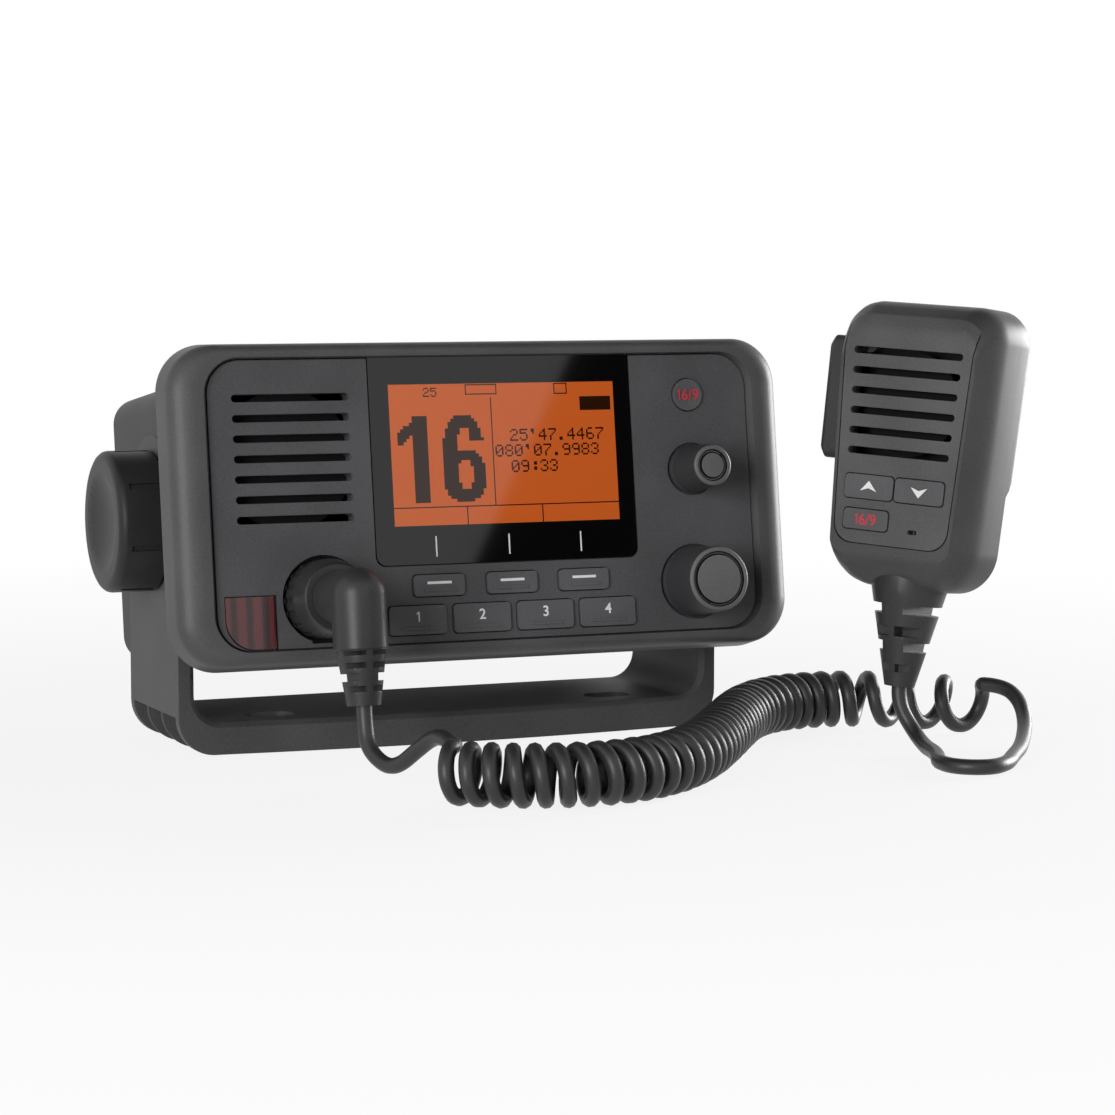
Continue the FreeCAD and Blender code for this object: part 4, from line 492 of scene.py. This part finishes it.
# %% Flat pieces
def set_down(piece, matrix, material, carrier):
    """Puts a piece drawn in board millimetres where it belongs, and fastens it to a solid's body."""
    piece.data.transform(matrix)
    piece.data.materials.clear()
    piece.data.materials.append(material)
    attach(piece, body_of[carrier])
    return piece


def outline(name, corners, out, thick):
    """A flat plate from its corners on a board, `thick` deep, with its face at `out`."""
    mesh = bpy.data.meshes.new(name)
    mesh.from_pydata([(x, y, out - thick) for x, y in corners], [], [list(range(len(corners)))])
    piece = bpy.data.objects.new(name, mesh)
    bpy.context.scene.collection.objects.link(piece)
    only(piece)
    bpy.ops.object.mode_set(mode="EDIT")
    bpy.ops.mesh.select_all(action="SELECT")
    bpy.ops.mesh.normals_make_consistent(inside=False)
    bpy.ops.mesh.extrude_region_move(TRANSFORM_OT_translate={"value": (0, 0, thick)})
    bpy.ops.mesh.select_all(action="SELECT")
    bpy.ops.mesh.normals_make_consistent(inside=False)
    bpy.ops.object.mode_set(mode="OBJECT")
    return piece


def bar(name, middle, size, out, thick=INK):
    """Rectangular plate."""
    (x, y), (w, h) = middle, (size[0] / 2, size[1] / 2)
    return outline(name, [(x - w, y - h), (x + w, y - h), (x + w, y + h), (x - w, y + h)], out, thick)


def joined(name, pieces):
    """One piece from several."""
    bpy.ops.object.select_all(action="DESELECT")
    for piece in pieces:
        piece.select_set(True)
    bpy.context.view_layer.objects.active = pieces[0]
    bpy.ops.object.join()
    pieces[0].name = name
    return pieces[0]


# %% Figures
# The built-in face draws 1 as a bare bar, so it gets its own outline, in shares of the figures' height.
ONE = [(0.17, 0.0), (0.32, 0.0), (0.32, 1.0), (0.2, 1.0), (0.0, 0.83), (0.0, 0.67), (0.17, 0.79)]
AFTER_ONE = 0.44         # where the next figure starts, in the same shares
DIGIT_SHARE = 0.69       # height of a digit of the built-in face, as a share of its size


def figures(name, text, middle, height, out, bold):
    """Digits as a mesh, `height` millimetres tall and fattened by `bold`, round a place on a board."""
    pieces = []
    if text[0] == "1":
        pieces.append(outline(name, [(x * height, y * height) for x, y in ONE], INK, INK))
    if text.lstrip("1"):
        curve = bpy.data.curves.new(name, "FONT")
        curve.body = text.lstrip("1")
        curve.extrude = INK / 2
        curve.size = height / DIGIT_SHARE
        curve.offset = bold
        letters = bpy.data.objects.new(name, curve)
        bpy.context.scene.collection.objects.link(letters)
        only(letters)
        bpy.ops.object.convert(target="MESH")
        letters = bpy.context.view_layer.objects.active
        letters.data.transform(Matrix.Translation((AFTER_ONE * height * len(pieces), 0, INK / 2)))
        pieces.append(letters)
    piece = joined(name, pieces)
    across = [vertex.co.x for vertex in piece.data.vertices]
    up = [vertex.co.y for vertex in piece.data.vertices]
    shift = (middle[0] - (min(across) + max(across)) / 2, middle[1] - (min(up) + max(up)) / 2, out - INK)
    piece.data.transform(Matrix.Translation(shift))
    return piece


# %% Legends on the head
RIDGE = 0.3                                  # height of the ridge along a key's lower edge
BAR_SIZE, BAR_UP = (7.4, 0.75), 0.75         # bar on a soft key, and its shift from the key's middle
NUMBER_TALL, NUMBER_BOLD, NUMBER_UP = 2.9, 0.07, 1.0
CHANNELS, CHANNELS_TALL, CHANNELS_BOLD = "16/9", 3.1, 0.1
TICK_SIZE, TICK_UP = (0.42, 5.8), -13.4      # ticks on the window, above the soft keys
TICK_INK, TICK_OUT = 0.02, 0.01

legends = []
for i in range(1, 4):
    name = "soft_key_%d" % i
    x, y, out = face_of(name, HEAD)
    piece = bar(name + "_bar", (x, y + BAR_UP), BAR_SIZE, out - RIDGE + INK)
    legends.append(set_down(piece, HEAD, white_ink, name))
for i in range(1, 5):
    name = "function_key_%d" % i
    x, y, out = face_of(name, HEAD)
    piece = figures(name + "_number", str(i), (x, y + NUMBER_UP), NUMBER_TALL, out - RIDGE + INK,
                    NUMBER_BOLD)
    legends.append(set_down(piece, HEAD, white_ink, name))
x, y, out = face_of("power_key", HEAD)
piece = figures("power_key_figures", CHANNELS, (x, y), CHANNELS_TALL, out + INK, CHANNELS_BOLD)
legends.append(set_down(piece, HEAD, red_ink, "power_key"))
window_out = face_of("window_glass", HEAD)[2]
for i in range(1, 4):
    x = face_of("soft_key_%d" % i, HEAD)[0]
    piece = bar("window_tick_%d" % i, (x, TICK_UP), TICK_SIZE, window_out + TICK_OUT, TICK_INK)
    legends.append(set_down(piece, HEAD, white_ink, "window_glass"))
print("legends on the head:", len(legends))

# %% Legends on the microphone
ARROW = [(-2.7, -1.25), (0.0, -0.35), (2.7, -1.25), (0.0, 1.75)]    # swept arrowhead, pointing up
for name, sign in (("mic_up_key", 1), ("mic_down_key", -1)):
    x, y, out = face_of(name, MICROPHONE)
    piece = outline(name + "_arrow", [(x + sign * a, y + sign * b) for a, b in ARROW], out + INK, INK)
    legends.append(set_down(piece, MICROPHONE, white_ink, name))
x, y, out = face_of("mic_channel_key", MICROPHONE)
piece = figures("mic_channel_figures", CHANNELS, (x, y), CHANNELS_TALL, out + INK, CHANNELS_BOLD)
legends.append(set_down(piece, MICROPHONE, red_ink, "mic_channel_key"))
print("legends in all:", len(legends))

# %% [markdown]
# ## The picture on the display
# A backlit dot-matrix glass: an amber field, and dark segments printed by the liquid crystal. The field is a
# thin face flush with the window's front, and its marks are thinner still. The small figures are drawn as
# the real ones are, dot by dot: a grid of five by seven cells for each, from which the unlit cells are
# deleted. The large channel number is a finer grid, and two short rules say which of its cells are lit.

# %% Display field
LCD_WIDTH, LCD_HEIGHT = 70.0, 40.4
FIELD_OUT, FIELD_THICK = window_out + 0.015, 0.01
lcd_low, lcd_high = extent("lcd_panel", HEAD)
LCD_LEFT, LCD_TOP = lcd_low.x, lcd_high.y
field = bar("display_field", (LCD_LEFT + LCD_WIDTH / 2, LCD_TOP - LCD_HEIGHT / 2), (LCD_WIDTH, LCD_HEIGHT),
            FIELD_OUT, FIELD_THICK)
layer = field.data.uv_layers.new(name="pixels")      # millimetres, which the pixel pattern counts in
for loop in field.data.loops:
    corner = field.data.vertices[loop.vertex_index].co
    layer.data[loop.index].uv = (corner.x, corner.y)
set_down(field, HEAD, display_amber, "window_glass")
print("display field mm:", LCD_WIDTH, LCD_HEIGHT, "at", round(LCD_LEFT, 1), round(LCD_TOP, 1))

# %% Dot figures
DOTS = {"0": "01110 10001 10011 10101 11001 10001 01110", "2": "01110 10001 00001 00110 01000 10000 11111",
        "3": "01110 10001 00001 00110 00001 10001 01110", "4": "00010 00110 01010 10010 11111 00010 00010",
        "5": "11111 10000 11110 00001 00001 10001 01110", "6": "01110 10000 10000 11110 10001 10001 01110",
        "7": "11111 00001 00010 00100 01000 01000 01000", "8": "01110 10001 10001 01110 10001 10001 01110",
        "9": "01110 10001 10001 01111 00001 00001 01110", ":": "00000 00110 00110 00000 00110 00110 00000",
        ".": "00000 00000 00000 00000 00000 01100 01100", "'": "01100 01100 00100 00000 00000 00000 00000"}
MARK_OUT, MARK_THICK = FIELD_OUT + 0.008, 0.005


def on_display(across, down):
    """Board position of a point given as shares of the display's width and height."""
    return LCD_LEFT + across * LCD_WIDTH, LCD_TOP - down * LCD_HEIGHT


def dots(name, lit, columns, rows, across, down, cell):
    """The lit cells of a grid whose top left corner is at a share of the display."""
    left, top = on_display(across, down)
    bpy.ops.object.select_all(action="DESELECT")
    bpy.ops.mesh.primitive_grid_add(x_subdivisions=columns, y_subdivisions=rows, size=1)
    piece = bpy.context.view_layer.objects.active
    piece.name = name
    bpy.ops.object.mode_set(mode="EDIT")
    bpy.ops.mesh.select_mode(type="FACE")
    bpy.ops.mesh.select_all(action="DESELECT")
    bpy.ops.object.mode_set(mode="OBJECT")
    for face in piece.data.polygons:
        face.select = not lit(int((face.center.x + 0.5) * columns), int((0.5 - face.center.y) * rows))
    bpy.ops.object.mode_set(mode="EDIT")
    bpy.ops.mesh.delete(type="FACE")
    bpy.ops.object.mode_set(mode="OBJECT")
    size = Matrix.Diagonal((columns * cell, rows * cell, 1, 1))
    middle = Matrix.Translation((left + columns * cell / 2, top - rows * cell / 2, MARK_OUT))
    piece.data.transform(middle @ size)
    return set_down(piece, HEAD, display_ink, "window_glass")


def dot_row(name, text, across, down, cell):
    """A line of small figures, each five cells by seven with an empty column after it."""
    patterns = [DOTS[letter].split() for letter in text]
    return dots(name, lambda column, row: column % 6 < 5 and patterns[column // 6][row][column % 6] == "1",
                6 * len(text), 7, across, down, cell)


# %% The channel number
BIG_CELL = 0.92          # millimetres
BIG_ROWS, ONE_COLUMNS, SIX_COLUMNS = 27, 10, 14
SQUARED = 2.5            # 2 would give a plain oval


def inside(x, y, middle, half):
    """Whether a point lies in a squared oval."""
    return abs((x - middle[0]) / half[0]) ** SQUARED + abs((y - middle[1]) / half[1]) ** SQUARED <= 1


def big_one(column, row):
    """A broad stem with a flag that slants down to the left."""
    x, y = (column + 0.5) / ONE_COLUMNS, (row + 0.5) / BIG_ROWS
    return x > 0.48 or 0.2 - 0.3 * x < y < 0.36 - 0.28 * x


def big_six(column, row):
    """A ring over the full height, cut open at the right, and a second ring as its bowl."""
    x, y = (column + 0.5) / SIX_COLUMNS, (row + 0.5) / BIG_ROWS
    tall = inside(x, y, (0.5, 0.5), (0.5, 0.5)) and not inside(x, y, (0.52, 0.5), (0.17, 0.37))
    bowl = inside(x, y, (0.5, 0.7), (0.5, 0.3)) and not inside(x, y, (0.52, 0.69), (0.17, 0.17))
    return bowl or tall and (x < 0.5 or y < 0.28)


# %% Marks on the display
LINE = 0.34              # width of a ruled line, millimetres
THIN_X, THIN_Y = LINE / LCD_WIDTH, LINE / LCD_HEIGHT       # the same as shares of the display
UPRIGHT, SHELF, STOPS = 0.444, 0.868, (0.318, 0.652)       # where the ruled lines run
BIG_TOP = 0.225
SMALL_ROWS = {"display_power": ("25", 0.15, 0.025, 0.38),
              "display_line_1": ("25'47.4467", 0.525, 0.33, 0.5),
              "display_line_2": ("080'07.9983", 0.457, 0.44, 0.5),
              "display_line_3": ("09:33", 0.525, 0.553, 0.5)}
marks = []


def display_bar(name, left, top, right, bottom):
    """Dark rectangle between two points given as shares of the display."""
    (x0, y0), (x1, y1) = on_display(left, top), on_display(right, bottom)
    piece = bar(name, ((x0 + x1) / 2, (y0 + y1) / 2), (abs(x1 - x0), abs(y1 - y0)), MARK_OUT, MARK_THICK)
    marks.append(set_down(piece, HEAD, display_ink, "window_glass"))


def display_frame(name, left, top, right, bottom):
    """Thin dark frame between two points given as shares of the display."""
    display_bar(name + "_top", left, top, right, top + THIN_Y)
    display_bar(name + "_foot", left, bottom - THIN_Y, right, bottom)
    display_bar(name + "_left", left, top, left + THIN_X, bottom)
    display_bar(name + "_right", right - THIN_X, top, right, bottom)


display_bar("display_upright", UPRIGHT, 0.1, UPRIGHT + THIN_X, SHELF)
display_bar("display_shelf", 0.0, SHELF, 1.0, SHELF + THIN_Y)
for i, stop in enumerate(STOPS, 1):
    display_bar("display_stop_%d" % i, stop, SHELF, stop + THIN_X, 1.0)
display_bar("display_block", 0.845, 0.105, 0.985, 0.205)
display_frame("display_box_1", 0.335, 0.005, 0.475, 0.08)
display_frame("display_box_2", 0.73, 0.005, 0.79, 0.085)
marks.append(dots("display_big_one", big_one, ONE_COLUMNS, BIG_ROWS, 0.03, BIG_TOP, BIG_CELL))
marks.append(dots("display_big_six", big_six, SIX_COLUMNS, BIG_ROWS, 0.225, BIG_TOP, BIG_CELL))
for name, (text, across, down, cell) in SMALL_ROWS.items():
    marks.append(dot_row(name, text, across, down, cell))
print("marks on the display:", len(marks))

# %% [markdown]
# ## The curly cord
# The jacket is wound hot on a mandrel, so it keeps a tight helix over most of its length, opens at the end
# that is pulled most, and runs out straight at both ends. Three pieces make it, because its ends belong to
# things that move: a lead that runs from the plug on the head down to the coil, the coil, which lies still,
# and a tail that rises up to the microphone. Each follows a smooth spline that a few chosen points steer.

# %% Routes of the cord
WIRE = 4.4 * MM
COIL_RADIUS = 6.6 * MM     # from the coil's axis to the middle of the wire
# Control points in scene millimetres: the lead runs from the plug to the coil, the coil on from there, and
# the tail from the coil to the microphone.
lead_route = [(-51.7, -87.56, 21.12), (-51.7, -88.36, 15.18), (-51.8, -91.0, 9.7), (-49.3, -97.0, 5.7),
              (-47.0, -102.1, 6.3), (-44.1, -107.8, 11.1), (-41.5, -114.5, 15.7), (-40.7, -120.0, 15.9),
              (-40.7, -125.0, 15.1), (-41.4, -129.4, 15.4), (-43.8, -132.4, 15.4)]
coil_route = [(-47.0, -130.5, 8.8), (-38.5, -139.5, 8.8), (-26.0, -147.0, 8.8), (-11.0, -150.3, 8.8),
              (4.0, -147.5, 8.8), (19.0, -138.5, 8.8), (34.0, -122.5, 8.8), (48.5, -102.5, 8.8),
              (63.0, -81.5, 8.8), (77.0, -62.0, 8.8), (91.0, -49.0, 8.8), (106.0, -44.0, 8.8),
              (121.5, -46.5, 8.8), (135.5, -56.5, 8.8), (145.5, -70.5, 8.8), (150.0, -79.0, 8.8)]
tail_route = [(149.0, -77.6, 15.4), (153.0, -82.7, 15.4), (154.4, -89.9, 11.8), (151.0, -98.6, 6.5),
              (144.4, -108.4, 3.7), (136.3, -119.8, 2.6), (126.8, -131.5, 2.6), (118.6, -142.4, 2.6),
              (110.3, -147.3, 2.6), (102.2, -142.6, 2.6), (101.7, -133.2, 2.6), (106.6, -124.8, 2.6),
              (110.3, -116.0, 2.6), (112.7, -106.8, 2.6), (114.0, -98.1, 5.5), (110.88, -93.47, 13.8),
              (111.43, -93.45, 18.77)]


def spline(name, points, steps):
    """NURBS curve with these control points, in metres, and so many steps from one to the next."""
    curve = bpy.data.curves.new(name, "CURVE")
    curve.dimensions = "3D"
    curve.resolution_u = steps
    line = curve.splines.new("NURBS")
    line.points.add(len(points) - 1)
    for control, place in zip(line.points, points):
        control.co = (*place, 1.0)
    line.order_u = 3
    line.use_endpoint_u = True
    piece = bpy.data.objects.new(name, curve)
    bpy.context.scene.collection.objects.link(piece)
    return piece


def points_along(piece):
    """Points read off a spline that has no bevel yet."""
    bpy.context.view_layer.update()
    mesh = bpy.data.meshes.new_from_object(piece)
    points = [vertex.co.copy() for vertex in mesh.vertices]
    bpy.data.meshes.remove(mesh)
    return points


def length_of(points):
    """Length of the line through some points."""
    return sum((b - a).length for a, b in zip(points, points[1:]))


def metres(route):
    """A route's millimetres as scene metres."""
    return [Vector(point) * MM for point in route]


print("control points:", len(lead_route), len(coil_route), len(tail_route))

# %% Lead and tail
ROUND = 50                 # facets of a round jacket turn by less than this, degrees


def straight_cord(name, route):
    """Round jacket along a route, as a mesh, with the points that it follows."""
    piece = spline(name, metres(route), 10)
    followed = points_along(piece)
    piece.data.bevel_depth = WIRE / 2
    piece.data.bevel_resolution = 5
    piece.data.use_fill_caps = True
    only(piece)
    bpy.ops.object.convert(target="MESH")
    piece = bpy.context.view_layer.objects.active
    piece.data.materials.clear()
    piece.data.materials.append(cord_jacket)
    bpy.ops.object.shade_smooth_by_angle(angle=math.radians(ROUND))
    return piece, followed


lead, lead_line = straight_cord("lead_jacket", lead_route)
tail, tail_line = straight_cord("tail_jacket", tail_route)
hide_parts("cord_lead")
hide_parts("cord_tail")
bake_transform(lead)
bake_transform(tail)
print("lead mm: %.1f  tail mm: %.1f" % (length_of(lead_line) / MM, length_of(tail_line) / MM))

# %% Coil
PITCH_TIGHT, PITCH_OPEN = 5.75 * MM, 12.0 * MM
OPENS_AT, OPENS_OVER = 212.0 * MM, 18.0 * MM     # the coil is tight up to here, and fully open this much on
AROUND = 16                # points in one turn
SEEK = 0.1 * MM            # step of the search for where the coil begins

axis_points = points_along(spline("coil_axis", metres(coil_route), 24))
bpy.data.objects.remove(bpy.data.objects["coil_axis"])
stations = [0.0]           # distance of each of these points along the axis
for a, b in zip(axis_points, axis_points[1:]):
    stations.append(stations[-1] + (b - a).length)


def on_axis(distance):
    """Point on the coil's axis and its direction there."""
    k = max(i for i, s in enumerate(stations[:-1]) if s <= max(0.0, distance) or i == 0)
    a, b = axis_points[k], axis_points[k + 1]
    share = (distance - stations[k]) / (stations[k + 1] - stations[k])
    return a + (b - a) * share, (b - a).normalized()


def pitch_at(distance):
    """Advance of one turn: even, then opening towards the microphone's end."""
    share = min(1.0, max(0.0, (distance - OPENS_AT) / OPENS_OVER))
    return PITCH_TIGHT + (PITCH_OPEN - PITCH_TIGHT) * share * share * (3 - 2 * share)


# The first turn starts at its top, where the lead ends; the last ends at its top, where the tail starts.
start = lead_line[-1] - UP * COIL_RADIUS
distance = min(range(400), key=lambda i: (on_axis(i * SEEK)[0] - start).length) * SEEK
turn = 0.0
wound = []
while distance < stations[-1]:
    place, along = on_axis(distance)
    side = along.cross(UP)
    wound.append(place + (UP * math.cos(turn) + side * math.sin(turn)) * COIL_RADIUS)
    turn += 2 * math.pi / AROUND
    distance += pitch_at(distance) / AROUND
last_top = (len(wound) - 1) // AROUND * AROUND
wound = wound[:last_top] + [tail_line[0]]
shift = lead_line[-1] - wound[0]
for i in range(AROUND):
    wound[i] = wound[i] + shift * (1 - i / AROUND)
coil = spline("coil_jacket", wound, 3)
coil_line = points_along(coil)
coil.data.bevel_depth = WIRE / 2
coil.data.bevel_resolution = 3
coil.data.use_fill_caps = True
coil.data.materials.append(cord_jacket)
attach(coil, "bracket")
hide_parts("cord_coil")
print("turns:", last_top / AROUND, " wire in the coil mm: %.0f" % (length_of(coil_line) / MM))

print("cord in all mm: %.0f" % (sum(length_of(line) for line in (lead_line, coil_line, tail_line)) / MM))

# %% [markdown]
# ## Studio
# A pale floor and an even pale room, as for a catalogue. The room is white where it is seen or mirrored and
# dimmer as a lamp, so that colours keep their level. The floor is paper: close to the radio it keeps a
# seventh of its own shade, where the shadow lies, and further off it fades into the white of the room.

# %% Room and floor
ROOM_AS_LAMP = 0.14              # strength of the room where it isn't looked at
WHITE_NEAR = 0.86                # share of plain white in the floor beside the radio
FADE_FROM, FADE_TO = 0.15, 0.6   # over these distances from the middle it becomes all white, metres


def looked_at(owner):
    """1 for rays from the camera, off something glossy or through something clear, and 0 for all others."""
    ray = node(owner, "LightPath")
    seen = node(owner, "Math", {0: (ray, "Is Camera Ray"), 1: (ray, "Is Glossy Ray")}, operation="MAXIMUM")
    return node(owner, "Math", {0: (seen, 0), 1: (ray, "Is Transmission Ray")}, operation="MAXIMUM")


world = bpy.data.worlds.new("studio")
bpy.context.scene.world = world
world.use_nodes = True
world.node_tree.nodes.clear()
strength = node(world, "MapRange", {"Value": (looked_at(world), 0), "To Min": ROOM_AS_LAMP, "To Max": 1.0})
room = node(world, "Background", {"Color": (1, 1, 1, 1), "Strength": (strength, "Result")})
node(world, "OutputWorld", {"Surface": (room, 0)})

bpy.ops.object.select_all(action="DESELECT")
bpy.ops.mesh.primitive_circle_add(vertices=96, radius=6.0, fill_type="NGON", location=(0, 0, -0.0002))
floor = bpy.context.view_layer.objects.active
floor.name = "studio_floor"
paper = blank("pale_paper")
place = node(paper, "TexCoord")
far = node(paper, "VectorMath", {0: (place, "Object")}, operation="LENGTH")
fade = node(paper, "MapRange", {"Value": (far, "Value"), "From Min": FADE_FROM, "From Max": FADE_TO,
                                "To Min": WHITE_NEAR})
share = node(paper, "Math", {0: (fade, "Result"), 1: (looked_at(paper), 0)}, operation="MULTIPLY")
sheet = node(paper, "BsdfPrincipled", {"Base Color": tint("f4f4f4"), "Roughness": 0.8,
                                       "Specular IOR Level": 0.1})
glow = node(paper, "Emission", {"Color": (1, 1, 1, 1), "Strength": 1.0})
mixed = node(paper, "MixShader", {"Fac": (share, 0), 1: (sheet, "BSDF"), 2: (glow, 0)})
node(paper, "OutputMaterial", {"Surface": (mixed, 0)})
floor.data.materials.append(paper)
print("floor:", floor.name)

# %% [markdown]
# ## Lamps and flags
# A large lamp on the left gives the faces their slope from light to dark, one on the right draws the far
# flanks, and a weak one in front lifts the shadows. Black things look grey in a white room, so a studio
# hangs black cards, called flags, where they are to stay black: here one overhead, and one at the front right
# whose slanting edge is mirrored across the window. The camera doesn't see the cards.

# %% Lamps
def lamp(name, place, aim, size, power):
    """Oblong area lamp at a place, pointed at another, both in metres; its power is in watts."""
    light = bpy.data.lights.new(name, "AREA")
    light.shape = "RECTANGLE"
    light.size, light.size_y = size
    light.energy = power
    stand = bpy.data.objects.new(name, light)
    stand.location = place
    stand.rotation_euler = (Vector(aim) - Vector(place)).to_track_quat("-Z", "Y").to_euler()
    bpy.context.scene.collection.objects.link(stand)


RADIO, BESIDE_MICROPHONE = (0, -0.03, 0.07), (0.1, -0.06, 0.09)      # what the lamps are aimed at
lamp("left_softbox", (-1.2, -1.05, 0.32), RADIO, (0.7, 0.8), 18.5)
lamp("front_fill", (0.5, -1.7, 1.0), RADIO, (0.9, 0.5), 1.2)
lamp("right_softbox", (1.25, 0.2, 0.22), BESIDE_MICROPHONE, (0.6, 0.5), 19.0)
print("lamps:", [light.name for light in bpy.data.lights])

# %% Flags
# Black foam board: nearly no shine, and a faint fibre.
black_card = moulded("black_foam_board", "0b0b0b", 2.0, 0.1, 0.8, level=0.05)
BOARD_THICKNESS = 4.0


def flag(name, corners, matrix):
    """Black card that the camera doesn't see, its corners drawn in millimetres and placed by a matrix."""
    piece = outline(name, corners, 0.0, BOARD_THICKNESS)
    piece.data.transform(matrix @ Matrix.Diagonal((MM, MM, MM, 1.0)))
    piece.data.materials.append(black_card)
    piece.visible_camera = False
    return piece


overhead = Matrix.Translation((0, 0, 1.5))
upright = Matrix.Translation((0, -1.3, 0)) @ Matrix.Rotation(math.radians(90), 4, "X")
flags = [flag("overhead_flag", [(-1100, -700), (1100, -700), (1100, 1300), (-1100, 1300)], overhead),
         flag("window_flag", [(458, 200), (1300, 200), (1300, 480), (627, 480)], upright)]
print("flags:", [piece.name for piece in flags])
